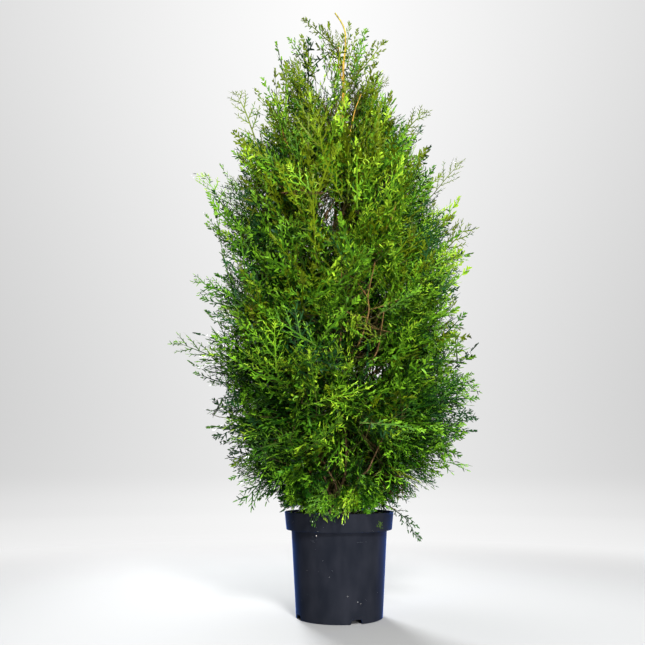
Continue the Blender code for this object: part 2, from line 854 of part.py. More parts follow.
def core_shape(mass, limbs, rng):
    """A lumpy core round the mass's middle that keeps to its space and off every limb."""
    planes = [(normal, border - normal * CORE_MARGIN) for normal, border in mass.planes]
    for limb in limbs:
        for number in range(len(limb.points) - 1):
            near = nearest_on(limb.points[number], limb.points[number + 1], mass.middle)
            apart = near - mass.middle
            clearance = max(limb.radii[number], limb.radii[number + 1]) + CORE_MARGIN
            planes.append((apart.normalized(), near - apart.normalized() * clearance))
    size = min(CORE_RADIUS, CORE_SHARE * crown_reach(mass.azimuth, mass.middle.z))
    steepness = [90.0 - 180.0 * ring / (CORE_RINGS + 1) for ring in range(CORE_RINGS + 2)]
    ways = [growth_direction(360.0 * (side + 0.5 * (ring % 2)) / CORE_SIDES, steepness[ring])
            for ring in range(1, CORE_RINGS + 1) for side in range(CORE_SIDES)]
    points = []
    for way in [UP] + ways + [-UP]:
        room = size / math.hypot(way.x, way.y, way.z / CORE_STRETCH)
        for normal, border in planes:
            slope = normal.dot(way)
            if slope > 1e-4:
                room = min(room, max(CORE_LEAST, normal.dot(border - mass.middle) / slope))
        while room > CORE_LEAST and not inside_crown(mass.middle + way * room):
            room *= CORE_SHRINK
        points.append(mass.middle + way * room * (1.0 - rng.uniform(0.0, CORE_LUMPS)))
    return points, ball_faces(CORE_RINGS, CORE_SIDES)


def ball_faces(rings, sides):
    """Faces of a closed ball: a top point, rings of points from the top down, and a bottom point."""
    faces = []
    bottom = rings * sides + 1
    for side in range(sides):
        after = (side + 1) % sides
        faces.append((0, 1 + side, 1 + after))
        for ring in range(rings - 1):
            upper = 1 + ring * sides
            lower = upper + sides
            if ring % 2:
                faces.append((upper + side, lower + side, lower + after))
                faces.append((upper + side, lower + after, upper + after))
            else:
                faces.append((upper + side, lower + side, upper + after))
                faces.append((upper + after, lower + side, lower + after))
        last = bottom - sides
        faces.append((bottom, last + after, last + side))
    return faces


def inside_crown(point):
    """Whether a point lies in the inner part of the crown, behind its outer sprays."""
    azimuth = math.degrees(math.atan2(point.y, point.x))
    level = math.hypot(point.x, point.y)
    return level < CORE_REACH * crown_reach(azimuth, point.z + CORE_RISE)


def nearest_on(start, end, point):
    """The point of a straight run that is nearest to another point."""
    run = end - start
    share = max(0.0, min(1.0, run.dot(point - start) / run.length_squared))
    return start + run * share


def make_mass(mass, limbs, obstacles, tips, material, rng):
    """Fuse a mass's stem, core, twigs and sprays into one solid, and note the tips that it reaches."""
    solid = add_object("foliage_" + mass.name, mass.stem.shape(STEM_SIDES), material)
    parts = [add_object("core", core_shape(mass, limbs, rng), material)]
    for spray in mass.sprays:
        crowded = any((spray.tip - tip).length < spray.spacing for tip in tips)
        if crowded or len(parts) > 2 * SPRAYS_PER_MASS:
            continue
        grown = grow_spray(mass, spray, obstacles)
        if grown:
            tips.append(spray.tip)
            parts.extend(add_object("spray", shape, material) for shape in grown)
    join(solid, parts, "UNION")
    keep_largest_body(solid)


def pot_obstacle():
    """The outside of the pot, a little larger, which the foliage keeps off."""
    wide = RIM_RADIUS + POT_CLEARANCE
    profile = ((0.0, 0.0), (wide, 0.0), (wide, POT_HEIGHT + POT_CLEARANCE), (0.0, POT_HEIGHT + POT_CLEARANCE))
    return BVHTree.FromPolygons(*turned(profile, POT_SEGMENTS))


def build():
    """Make the whole plant."""
    clear_scene()
    plastic = make_material("pot plastic", *PLASTIC)
    earth = make_material("potting soil", *SOIL)
    bark = make_material("bark", *BARK)
    green = make_material("foliage", *FOLIAGE)
    rng = random.Random(SEED)
    make_pot(plastic)
    make_soil(earth)
    trunk = Trunk()
    stem_of_tree = Limb(trunk.points, trunk.radii, UP)
    add_object("trunk", stem_of_tree.shape(TRUNK_SIDES), bark)
    masses = place_masses(trunk)
    share_space(masses)
    plan_limbs(masses, trunk)
    deal_sprays(masses, crown_tips(rng), rng)
    limbs = [stem_of_tree]
    for mass in masses:
        if mass.bough:
            add_object("bough_" + mass.name, mass.bough.shape(BOUGH_SIDES), bark)
            limbs.append(mass.bough)
    obstacles = [BVHTree.FromPolygons(*limb.shape(TRUNK_SIDES, LIMB_CLEARANCE)) for limb in limbs]
    obstacles.append(pot_obstacle())
    tips = []
    for mass in masses:
        make_mass(mass, limbs, obstacles, tips, green, rng)


build()
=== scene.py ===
"""Looks of a potted brabant arborvitae: bark, fine sprays of foliage, soil, pot, studio and camera.

Everything is in metres in the frame's own axes. The limbs and the sprays follow the same growth rule
as the solids, carried on to finer twigs.
"""
import math

import bmesh
import bpy
import numpy as np
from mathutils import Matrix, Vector, noise


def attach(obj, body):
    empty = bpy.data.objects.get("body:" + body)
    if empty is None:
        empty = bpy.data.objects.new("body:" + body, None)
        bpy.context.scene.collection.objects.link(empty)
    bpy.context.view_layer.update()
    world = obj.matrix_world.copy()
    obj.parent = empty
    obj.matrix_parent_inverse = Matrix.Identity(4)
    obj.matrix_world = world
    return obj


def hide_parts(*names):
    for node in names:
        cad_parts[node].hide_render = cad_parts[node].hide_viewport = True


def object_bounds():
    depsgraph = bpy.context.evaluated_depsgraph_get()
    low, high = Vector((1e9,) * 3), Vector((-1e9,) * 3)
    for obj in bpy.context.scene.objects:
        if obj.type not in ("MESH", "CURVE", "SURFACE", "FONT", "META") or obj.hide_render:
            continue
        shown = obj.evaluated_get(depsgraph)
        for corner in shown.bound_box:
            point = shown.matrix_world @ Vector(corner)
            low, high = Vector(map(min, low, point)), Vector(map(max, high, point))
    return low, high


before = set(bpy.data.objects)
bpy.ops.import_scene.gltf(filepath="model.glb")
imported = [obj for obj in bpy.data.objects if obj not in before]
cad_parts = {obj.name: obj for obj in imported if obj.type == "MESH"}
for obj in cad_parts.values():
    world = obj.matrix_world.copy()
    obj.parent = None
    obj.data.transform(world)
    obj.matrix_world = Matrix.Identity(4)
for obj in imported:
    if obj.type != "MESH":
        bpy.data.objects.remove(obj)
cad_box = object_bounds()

BODY = "root"
LEAST_LENGTH = 1e-12
NODES = sorted(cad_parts)
UP = np.array((0.0, 0.0, 1.0))

# Azimuths in degrees, counted from the right towards the back
RIGHT = 0.0
BACK = 90.0
LEFT = 180.0
FRONT = 270.0

# Camera, fitted to the photograph: eye point, upward tilt and focal length
CAMERA_PLACE = (-0.038, -1.800, 0.322)
CAMERA_TILT = 11.02
PHOTO_FOCAL_PIXELS = 759.8
PHOTO_PIXELS = 645.0
SENSOR_WIDTH = 36.0

# Pot
POT_HEIGHT = 0.230
RIM_RADIUS = 0.1250
BAND_FOOT_RADIUS = 0.1208
BAND_HEIGHT = 0.0395
BODY_TOP_RADIUS = 0.1093
BASE_RADIUS = 0.0974
WALL = 0.0020
FLOOR_BOTTOM = 0.0110
FLOOR_THICKNESS = 0.0025
FOOT_RING_WIDTH = 0.0035
PAD_RADIUS = 0.030
PAD_DRAFT = 0.0015
LIP_RADIUS = 0.0009
FOOT_EDGE = 0.0010
# The corner under the rim band: steps outward and upward from the top of the body
BAND_CORNER = ((0.0006, -0.0008), (0.0020, 0.0))
# Points on the slopes of the body and the band: first share, last share and count
BODY_SHARES = (0.05, 0.97, 9)
BAND_SHARES = (0.08, 0.90, 6)
CORNER_POINTS = 5
LIP_POINTS = 9
POT_SEGMENTS = 180
SHARP_ANGLE = 32.0
NOTCHES = 4
FIRST_NOTCH_AZIMUTH = -68.8
NOTCH_WIDTH = 0.0270
NOTCH_HEIGHT = 0.0098
NOTCH_TAPER = 0.80
NOTCH_DEPTH = 0.030
DRAIN_HOLE_RADIUS = 0.0065
DRAIN_HOLE_PLACE = 0.0780
DRAIN_SIDES = 24

# Soil: its surface, and the mound at the trunk's foot
SOIL_TOP = 0.2220
SOIL_CLEARANCE = 0.0012
SOIL_SKIRT = 0.012
SOIL_RINGS = 46
SOIL_SEGMENTS = 150
MOUND_PLACE = -0.014
MOUND_HEIGHT = 0.0030
MOUND_SPREAD = 0.0016
# Unevenness of the soil: how quickly it changes, the level in the noise and the height
SOIL_WAVES = ((26.0, 0.0, 0.0022), (110.0, 3.0, 0.0014))

# Grains of perlite, clods and moss on the soil
STREWN_RADIUS = 0.118
LUMP_RISE = 0.35
LUMP_STRETCH = (0.6, 1.2)
LUMP_ROUGHNESS = (0.75, 1.2)
PERLITE_GRAINS = 70
PERLITE_SIZES = (0.0008, 0.0020)
CLODS = 420
CLOD_SIZES = (0.0012, 0.0034)
# Patches of moss: azimuth, radius and spread
MOSS_PATCHES = (
    (8.0, 0.104, 0.020),
    (330.0, 0.108, 0.022),
    (300.0, 0.106, 0.014),
    (60.0, 0.096, 0.018),
    (150.0, 0.090, 0.020),
    (205.0, 0.104, 0.013),
    (255.0, 0.110, 0.012),
    (20.0, 0.060, 0.012),
)
MOSS_DENSITY = 3600
MOSS_GATHERING = 0.45
MOSS_REACH = 0.1205
MOSS_RISE = 0.3
MOSS_SIZES = (0.0016, 0.0038)

# Specks on the pot: azimuth, height and size
POT_SPECKS = (
    (241.0, 0.2135, 0.0011),
    (238.5, 0.2145, 0.0008),
    (242.0, 0.1830, 0.0013),
    (273.0, 0.2080, 0.0010),
    (257.0, 0.0980, 0.0006),
    (292.0, 0.0460, 0.0007),
    (296.0, 0.0420, 0.0005),
)
# Scratches on the pot: azimuth, height and spread in degrees
POT_SCRATCHES = (
    (239.0, 0.1720, 3.0),
    (297.0, 0.1700, 4.0),
)
SCRATCH_LINES = 7
SCRATCH_SPREAD = 0.0016
SCRATCH_TURNS = (-1.2, -0.4, 0.4, 1.2)
SCRATCH_RADII = (0.00004, 0.00016, 0.00016, 0.00004)
SCRATCH_SIDES = 4
# Fine dust, and a cushion of moss below the rim at the right
DUST_SPECKS = 60
DUST_HEIGHTS = (0.012, 0.215)
DUST_SIZES = (0.00015, 0.00040)
POT_MOSS_LUMPS = 46
POT_MOSS_AZIMUTH = 316.0
POT_MOSS_TURN = 1.8
POT_MOSS_HEIGHT = 0.2060
POT_MOSS_SPREAD = 0.0038
POT_MOSS_SIZES = (0.0008, 0.0020)

# Trunk line: height, sideways and depthways place
TRUNK_LINE = (
    (SOIL_TOP, -0.014, 0.000),
    (0.300, -0.002, 0.002),
    (0.360, 0.011, 0.003),
    (0.460, 0.008, -0.001),
    (0.650, -0.004, -0.006),
    (0.850, -0.010, -0.003),
    (0.970, -0.004, 0.003),
    (1.070, 0.009, 0.005),
    (1.200, 0.018, 0.001),
    (1.330, 0.016, -0.004),
    (1.440, 0.021, -0.003),
    (1.499, -0.005, 0.000),
)
TRUNK_TIP_RADIUS = 0.0019
TRUNK_RADIUS = 0.0072
TRUNK_TAPER = 1.10
FLARE_RADIUS = 0.0055
FLARE_HEIGHT = 0.018
TRUNK_POINTS = 193
TRUNK_SIDES = 28
# Ridges of bark: how quickly they change round a limb and upwards, and their strength
BARK_RIDGES = ((1.7, 22.0, 0.07), (5.0, 60.0, 0.035))

# Crown outline: height, reach to the left and reach to the right
CROWN_OUTLINE = (
    (0.225, 0.160, 0.160),
    (0.285, 0.222, 0.220),
    (0.360, 0.270, 0.272),
    (0.420, 0.272, 0.302),
    (0.500, 0.286, 0.310),
    (0.600, 0.332, 0.297),
    (0.720, 0.300, 0.292),
    (0.850, 0.282, 0.272),
    (0.950, 0.306, 0.276),
    (1.050, 0.275, 0.240),
    (1.150, 0.225, 0.195),
    (1.250, 0.175, 0.122),
    (1.350, 0.140, 0.100),
    (1.430, 0.090, 0.060),
    (1.500, 0.012, 0.012),
)
# Lumps of the crown: how quickly they change round it and upwards, and their strength
CROWN_LUMPS = ((1.7, 5.0, 0.08), (3.6, 10.0, 0.12))
# Long tips at the outline: azimuth, reach and height
LONG_TIPS = (
    (180.0, 0.395, 0.627),
    (186.0, 0.347, 0.772),
    (176.0, 0.347, 1.066),
    (184.0, 0.260, 1.268),
    (168.0, 0.318, 0.462),
    (205.0, 0.240, 0.246),
    (10.0, 0.352, 0.521),
    (4.0, 0.334, 0.930),
    (356.0, 0.309, 1.078),
    (346.0, 0.226, 1.199),
    (338.0, 0.300, 0.330),
    (112.0, 0.345, 0.600),
    (270.0, 0.335, 0.560),
)
LOW_TIP = 0.30
# Tips of the shoots high in the crown, and how steeply they climb in degrees
TOP_TIPS = (
    (-0.022, 0.010, 1.482),
    (-0.091, -0.010, 1.478),
    (-0.160, 0.004, 1.420),
    (0.075, 0.010, 1.461),
    (0.124, -0.008, 1.419),
    (0.016, -0.056, 1.405),
    (-0.020, 0.080, 1.400),
    (-0.214, 0.010, 1.292),
    (0.150, -0.010, 1.233),
)
TOP_CLIMBS = (84.0, 44.0, 76.0, 78.0, 54.0, 80.0, 80.0, 58.0, 56.0)
# Finer shoots among those, in the scene alone
TOP_SHOOTS = (
    (-0.090, -0.030, 1.418),
    (0.034, 0.000, 1.474),
    (-0.194, -0.010, 1.311),
    (-0.262, 0.000, 1.171),
    (-0.046, -0.020, 1.452),
    (-0.128, 0.010, 1.436),
    (0.098, -0.020, 1.408),
    (0.052, -0.040, 1.430),
)
SHOOT_CLIMBS = (74.0, 82.0, 60.0, 52.0, 82.0, 58.0, 66.0, 75.0)

# The angle at which sprays climb, by height: drooping at the crown's foot, upright at its top
SPRAY_CLIMBS = (
    (0.24, -38.0),
    (0.36, -8.0),
    (0.50, 14.0),
    (0.75, 28.0),
    (1.05, 42.0),
    (1.25, 62.0),
    (1.50, 84.0),
)

# Tiers of masses: height, count, first azimuth and root height, as in the solids
TIERS = (
    (0.385, 6, 248.0, 0.258),
    (0.610, 7, 322.0, 0.330),
    (0.850, 6, 246.0, 0.530),
    (1.070, 4, 316.0, 0.780),
)
TOP_MASSES = (
    ("left_top", (-0.085, 0.014, 1.270), 1.110),
    ("right_top", (0.078, 0.040, 1.260), 1.085),
    ("front_top", (0.012, -0.066, 1.250), 1.065),
    ("leader", (0.004, 0.014, 1.400), 1.300),
)
MIDDLE_REACH = 0.56
ROOT_STAGGER = 0.050
TIER_STAGGER = 0.036
SPACE_STRETCH = 0.62
SPACE_GAP = 0.008
SPACE_STEPS = 51
CROWN_TOP = 1.47
STEM_DEPTH = 0.035
LEAST_STEM_SHARE = 0.20
OUTLINE_STEPS = 33

# Boughs and stems, and a direction that none of them follows
ODD_WAY = (0.31, 0.87, 0.21)
ROOT_SUNK = 0.55
BOUGH_ROOT_RADIUS = 0.0038
BOUGH_TIP_RADIUS = 0.0021
BOUGH_SHOULDER = 0.050
SHOULDER_RISE = 0.35
SHOULDER_SWELL = (0.0016, 0.0009, 0.0004, 0.0001)
LEAST_BOUGH_CLIMB = 0.030
BOUGH_END_REACH = 0.60
BOUGH_END_DROP = 0.105
BOUGH_POINTS = 26
BOUGH_SIDES = 12
STEM_TIP_RADIUS = 0.0011
STEM_START = 0.03
STEM_SPREAD = 0.22
STEM_CLIMB = 0.10
TOP_STEM_START = 0.02
TOP_STEM_RISE = 0.04
TOP_STEM_SPREAD = 0.10
TOP_STEM_CLIMB = 0.085
TOP_STEM_SHARE = 0.6
STEM_BEND = 0.035
STEM_POINTS = 12
STEM_SIDES = 9

# Low sprays that hang over the pot's rim in front, and a twig that droops over it at the right, dark as
# painted shade
RIM_SPRAYS = 15
RIM_SIDES = (-0.088, 0.014)
RIM_DEPTHS = (-0.153, -0.138)
RIM_HEIGHTS = (0.216, 0.240)
RIM_LENGTH = 0.070
RIM_TURN = 18.0
RIM_TIPS = (
    (0.040, -0.138, 0.240),
    (0.072, -0.124, 0.244),
    (-0.104, -0.100, 0.238),
)
DROOPING_TWIG = ((0.112, -0.060, 0.243), (0.177, -0.060, 0.168))
DROOPING_BEND = -0.62

# Side stems that the photograph shows near the crown's surface: the bough or trunk that carries each
# (its name and the share along it), radius at the root, and the points that it passes
SHOWN_STEMS = (
    ("3_2", 0.30, 0.0021, (
        (0.037, -0.170, 0.583),
        (0.054, -0.190, 0.626),
        (0.062, -0.200, 0.661),
        (0.060, -0.205, 0.689),
        (0.066, -0.210, 0.721),
        (0.075, -0.225, 0.761),
    )),
    ("2_1", 0.70, 0.0019, (
        (0.067, -0.170, 0.544),
        (0.081, -0.190, 0.578),
        (0.087, -0.205, 0.614),
        (0.092, -0.225, 0.651),
    )),
    ("trunk", 0.045, 0.0038, (
        (0.005, -0.070, 0.290),
        (0.012, -0.100, 0.318),
        (0.014, -0.120, 0.366),
        (0.011, -0.130, 0.416),
        (0.007, -0.140, 0.463),
    )),
    ("trunk", 0.035, 0.0024, (
        (-0.008, -0.070, 0.286),
        (-0.026, -0.110, 0.323),
        (-0.041, -0.130, 0.351),
    )),
    ("1_2", 0.62, 0.0021, (
        (0.039, -0.120, 0.306),
        (0.057, -0.155, 0.321),
        (0.072, -0.180, 0.354),
        (0.086, -0.200, 0.384),
        (0.102, -0.220, 0.424),
    )),
    ("trunk", 0.68, 0.0022, (
        (0.026, -0.025, 1.129),
        (0.035, -0.040, 1.165),
        (0.043, -0.050, 1.200),
        (0.058, -0.055, 1.240),
    )),
)
# Thin twigs on the first of those stems: share along it and the points that they pass
SHOWN_TWIGS = (
    (0.50, ((0.092, -0.210, 0.668), (0.127, -0.225, 0.680))),
    (0.42, ((0.027, -0.205, 0.649), (0.006, -0.215, 0.662))),
    (0.66, ((0.028, -0.215, 0.728), (0.004, -0.225, 0.737))),
    (0.35, ((0.080, -0.205, 0.618), (0.107, -0.215, 0.610))),
)
SHOWN_TIP_RADIUS = 0.0009
SHOWN_TWIG_START = 1.3
SHOWN_TWIG_END = 0.7
SHOWN_SPANS = 8
SHOWN_SPRAY_SHARES = (0.45, 0.60, 0.75, 0.88, 1.0)
SHOWN_DEPTH = 0.90
SHOWN_LENGTH = 0.085
SHOWN_SIDEWAYS = (0.6, 1.3)
SHOWN_INWARDS = (0.0, 0.5)
SHOWN_BEND = 0.06

# Layers of sprays: count, lowest, highest, least and greatest share of the reach, depth
SPRAY_LAYERS = (
    (360, 0.300, 1.400, 1.03, 1.13, 1.0),
    (1700, 0.258, 1.430, 0.80, 1.01, 1.0),
    (1150, 0.265, 1.390, 0.60, 0.82, 0.75),
    (520, 0.280, 1.300, 0.32, 0.60, 0.45),
)
FRINGE_SHARE = 1.02
LOW_CROWN = 0.42
LOW_CROWN_SHARE = 1.45
HEIGHT_STEPS = 400
HEIGHT_SHAKE = 0.012
AZIMUTH_SHAKE = 9.0
GOLDEN_ANGLE = 180.0 * (3.0 - math.sqrt(5.0))
SPRAY_TRIES = 6
# The share of slender sprays near the surface, by height
SLENDER_SHARES = ((0.9, 0.25), (1.3, 0.70))

# The share of sprays kept: by height, by height deeper in, in patches, and at two thinner places
KEPT = ((1.10, 1.0), (1.22, 0.84), (1.32, 0.58), (1.42, 0.24))
KEPT_DEEPER = ((1.00, 1.0), (1.20, 0.85), (1.34, 0.50))
KEPT_IN_PATCHES = ((-0.32, 0.30), (-0.05, 1.0))
PATCHES_AROUND = 3.1
PATCHES_UPWARD = 9.0
PATCHES_PLACE = 40.0
RIGHT_FOOT_HEIGHT = 0.33
RIGHT_FOOT_COSINE = 0.30
RIGHT_FOOT_SHARE = 0.45
LEADER_HEIGHT = 1.16
LEADER_COSINE = 0.80
LEADER_SHARE = 0.60

# Sprays round the foot of the crown
FOOT_SPRAYS = 1300
FOOT_TURN = 137.5
FOOT_REACHES = (0.030, 0.140)
FOOT_HEIGHTS = (0.228, 0.285)
FOOT_SLENDER_HEIGHT = 0.275
FOOT_DEPTH = 0.88
FOOT_LENGTH = 0.100

# Sprays that clothe the outer half of each stem
STEM_SPRAYS = 6
STEM_SPRAY_START = 0.45
STEM_SPRAY_TURN = 75.0
STEM_SPRAY_SLANT = 0.75
STEM_END_SLANT = 0.15
STEM_SPRAY_DEPTH = 0.85
STEM_SPRAY_REACH = 0.97
STEM_SLENDER_HEIGHT = 1.10
LEAST_SPRAY_LENGTH = 0.05
SPRAY_SHORTER = 0.9

# Gaps in the front of the crown that show the boughs: middle, half sizes and nearest depth
WINDOWS = (
    (0.060, 0.664, 0.017, 0.066, -0.196),
    (0.081, 0.590, 0.013, 0.036, -0.188),
    (0.013, 0.366, 0.009, 0.056, -0.104),
    (0.066, 0.350, 0.014, 0.034, -0.150),
    (-0.019, 0.316, 0.007, 0.026, -0.100),
    (-0.010, 0.270, 0.016, 0.032, -0.024),
    (0.021, 1.350, 0.011, 0.075, -0.008),
    (0.040, 1.185, 0.013, 0.060, -0.030),
)
# Gaps through the whole crown that show the sky, as seen on the plane through the trunk
SKY_GAPS = (
    (0.089, 0.557, 0.014, 0.023),
    (-0.075, 0.831, 0.013, 0.014),
    (-0.031, 0.950, 0.013, 0.024),
    (-0.022, 0.860, 0.010, 0.012),
    (0.113, 0.745, 0.011, 0.013),
)
# Places along a spray that are held against the gaps, the pot and the solids' box, with half widths
WINDOW_PROBES = (0.0, 0.03, 0.06, 0.09, 0.12, 0.15)
WINDOW_HALF_WIDTH = 0.030
WINDOW_SLENDER_WIDTH = 0.010
POT_PROBES = (0.0, 0.05, 0.10, 0.15)
POT_HALF_WIDTH = 0.035
POT_SLENDER_WIDTH = 0.014
POT_CLEARANCE = 0.004
RIM_MARGIN = 0.010
BOX_PROBES = (0.06, 0.10, 0.14)
BOX_HALF_WIDTH = 0.030
BOX_MARGIN = 0.014
LEAST_SLOPE = 0.001

# One spray: its length, spread, bend, cup and roll
SPRAY_LENGTH = 0.148
SPRAY_SCALES = (0.72, 1.15)
OUTER_DEPTH = 0.8
OUTER_SPREAD = 26.0
INNER_SPREAD = 42.0
CLIMB_SPREAD = 14.0
BEND_HEIGHT = 0.50
UPPER_BEND = (0.12, 0.16)
LOWER_BEND = (-0.15, 0.14)
SPRAY_CUP = (2.0, 3.0)
EDGE_ROLL = 90.0
EDGE_ROLL_SPREAD = 26.0
FLAT_ROLL_SPREAD = 38.0
FLAT_SHARE = 0.42

# Twigs: where they may leave a stem (first share, last share and count), what their angle, turn and
# run weigh in the choice, and their curve
TWIG_SHARES = (0.08, 0.98, 16)
TWIG_MIDDLE = 0.3
TWIG_ANGLE = 38.0
TWIG_TURN_WEIGHT = 0.6
TWIG_RUN_WEIGHT = 420.0
TWIG_HANDLE = 0.35
MOST_TWIG_HANDLE = 0.045
TWIG_INNER_PLACE = 0.05
TWIG_ROOT_RADIUS = 0.0013
TWIG_TIP_RADIUS = 0.0006
TWIG_POINTS = 4
TWIG_SIDES = 3

# The pattern of a spray: its shoots and their blades
TEMPLATE_LENGTH = 0.150
TEMPLATES = 14
SLENDER_TEMPLATES = 7
FIRST_SHOOT = 0.010
LAST_SHOOT = 0.012
SHOOT_STEP = 0.0150
SHOOT_SHAKE = (0.80, 1.20)
SHOOT_LENGTH = 0.060
SHOOT_SCALES = (0.70, 1.15)
LEAST_SHOOT = 0.011
# The share of the greatest length, and the angle in degrees, of a shoot by its place along the spray
SHOOT_EDGE = ((0.0, 0.50), (0.16, 0.88), (0.40, 1.0), (0.72, 0.66), (1.0, 0.22))
SHOOT_ANGLES = ((0.0, 50.0), (1.0, 34.0))
SHOOT_CURVE = 16.0
SHOOT_CURVE_SCALES = (0.4, 1.6)
SHOOT_LIFT = 0.12
SHOOT_SPANS = 6
SLENDER_SHOOT_LENGTH = 0.031
SLENDER_SCALES = (0.5, 1.3)
SLENDER_BOLDNESS = 2.05
SLENDER_STEP = 1.25
FIRST_BLADE = 0.0045
LAST_BLADE = 0.002
BLADE_STEP = 0.0062
BLADE_SHAKE = (0.88, 1.12)
BLADE_LENGTH = 0.0140
BLADE_SCALES = (0.82, 1.14)
BLADE_SHORTENING = 0.34
BLADE_WIDTH = 0.0027
BLADE_END = 0.50
BLADE_SLANT = 0.86
BLADE_ANGLE = 42.0
ANGLE_SPREAD = 5.0
BLADE_LIFT = 0.20
BLADE_ROLL = 0.75
TIP_BLADE = 0.72
# Columns of a blade's row, after the three of its foot
TURN, SIZE, WIDTH, LIFT, SHIFT = range(3, 8)
# The blades at the very end of a spray
END_BLADES = 5
END_START = 0.024
END_STEP = 0.0048
END_ANGLE = 38.0
END_LENGTH = 0.9
END_SHORTENING = 0.07
LAST_PLACE = 0.009
LAST_LENGTH = 0.7
RIB_WIDTH = 0.0030
RIB_END = 0.004
SHOOT_RIB = 0.5
MAIN_RIB = 0.62
MAIN_RIB_MIDDLE = 0.55

# Tones: greens from the palest to the darkest, the darker ones used as painted shade deeper in the crown,
# then the three others, of which the bluish green is painted cool shade, and the colour of each
TONES = ("tip", "fresh", "mid", "deep", "shade", "cool_shade", "olive", "dry")
FRESH, MID, DEEP, SHADE, COOL_SHADE, OLIVE, DRY = range(1, len(TONES))
TONE_COLOURS = (
    (0.285, 0.455, 0.022),
    (0.130, 0.290, 0.012),
    (0.046, 0.136, 0.005),
    (0.008, 0.042, 0.002),
    (0.0022, 0.014, 0.0009),
    # Painted cool shade: a dark bluish green for sprays at the sides and low down
    (0.012, 0.055, 0.012),
    (0.104, 0.150, 0.003),
    (0.070, 0.036, 0.012),
)
# How many steps of tone the blades are darker: by place on the spray, paler at the new tips and darker
# towards its inner end as painted shade, and at random on most of them
SHIFTS = (-1, 0, 1, 2)
TIP_PLACE = 1.10
FRESH_PLACE = 0.62
PLACE_WEIGHT = 1.1
MIXED_SHARE = 0.75
MIXED_SHIFTS = (-1, -1, 0, 1, 2)
RIM_TONES = (FRESH, MID, MID, DEEP)

# The tone of a spray: the chances of the others by place, the bluish green among them as painted cool shade
# at the sides, and the steps of the greens by place, which paint shade deeper in, low down, at the back and
# at the sides and paint light in front; it also grows darker towards the top
COOL_SIDE = 0.75
COOL_SIDE_HEIGHT = 1.15
COOL_SIDE_CHANCE = 0.26
COOL_HEIGHT = 0.95
COOL_CHANCE = 0.04
DRY_DEPTH = 0.78
DRY_CHANCE = 0.07
OLIVE_CHANCES = ((0.50, 0.04), (0.85, 0.20), (1.20, 0.42), (1.36, 0.75))
SURFACE_TONE = 1.30
SURFACE_DEPTH = 1.02
SHADE_BY_DEPTH = 7.0
LIT_FRONT = ((0.35, 0.25), (0.75, 0.45), (0.95, 0.95), (1.18, 0.95), (1.36, 0.0))
DARKER_TOP = ((1.18, 0.0), (1.36, 0.60))
SHADED_FOOT = ((0.25, 0.38), (0.42, 0.20), (0.65, 0.06), (1.1, 0.0))
SHADED_BACK = ((0.02, 0.0), (0.16, 0.75))
SHADED_RIGHT = ((0.55, 0.45), (0.75, 0.05))
SHADED_LEFT = ((0.90, 0.50), (1.10, 0.10))
SHADED_SIDE_REACH = 0.20
LEAST_REACH = 0.01
TONE_SPREAD = 0.50

# The most triangles of a joined piece, and the seed of all random draws
PIECE_TRIANGLES = 190000
SEED = 7

# Studio: its floor and backdrop, how they glow, and the spans over which the glow changes
FLOOR_RINGS = (0.001, 1.0, 2.4)
FLOOR_REACH = 4.2
FLOOR_DROP = 0.0004
COVE = 1.2
COVE_START = -86.0
COVE_POINTS = 16
BACKDROP_HEIGHT = 6.0
STUDIO_SEGMENTS = 128
FLOOR_WHITE = 0.350
FLOOR_GLOW = 0.955
FAR_GLOW = 0.062
WALL_GLOW = 0.850
WALL_RISE = 0.135
SIDE_FALL = 0.055
SIDE_CURVE = 1.3
FRONT_FALL = 0.40
LEAST_GLOW = 0.42
LIT_FLOOR_SPAN = (0.70, 2.0)
FLOOR_SPAN = (1.5, 5.5)
FAR_SPAN = (2.2, 4.3)
LOW_SPAN = (0.05, 0.32)
RISE_SPAN = (0.3, 5.2)
FRONT_SPAN = (-3.2, 1.5)
AIR_STRENGTH = 0.12

# Broad lights: name, place, target, size, power and colour
WHITE = (1.0, 1.0, 1.0)
BLUE = (0.03, 0.20, 1.0)
PALE_BLUE = (0.95, 0.975, 1.0)
LIGHTS = (
    ("top", (-0.60, 1.20, 4.60), (0.0, 0.0, 0.8), (2.6, 2.6), 110.0, WHITE),
    ("key", (0.60, -3.20, 2.40), (0.0, 0.0, 0.9), (0.6, 0.6), 230.0, WHITE),
    ("card_low", (1.15, -3.30, 0.75), (0.0, 0.0, 0.3), (0.40, 1.5), 45.0, WHITE),
)
# A low sun from behind, and narrow spots on the pot: name, place, target, cone in degrees, size,
# power and colour
SPOTS = (
    ("sun", (-1.10, 3.90, 1.85), (0.20, -0.30, 0.0), 46.0, 0.80, 2100.0, PALE_BLUE),
    ("card", (0.95, -3.30, 0.28), (0.02, 0.0, 0.10), 6.0, 0.20, 2000.0, WHITE),
    ("left_kicker", (-1.20, 2.20, 0.24), (0.0, 0.0, 0.14), 6.6, 0.10, 180.0, BLUE),
    ("right_kicker", (1.70, 1.80, 0.24), (0.0, 0.0, 0.14), 6.6, 0.10, 860.0, BLUE),
)


def lerp(first, second, share):
    """The value at a share of the way from one to another."""
    return first + (second - first) * share


def unit(vector):
    """A vector brought to length one."""
    return vector / max(np.linalg.norm(vector), LEAST_LENGTH)


def heading(azimuth):
    """The level direction of an azimuth in degrees."""
    angle = math.radians(azimuth)
    return np.array((math.cos(angle), math.sin(angle), 0.0))


def growth_direction(azimuth, climb):
    """A direction at an azimuth that climbs by an angle in degrees."""
    angle = math.radians(climb)
    return heading(azimuth) * math.cos(angle) + UP * math.sin(angle)


def reading(rows, place):
    """Read a table of two columns at a place in the first."""
    return along(rows, place)[0]


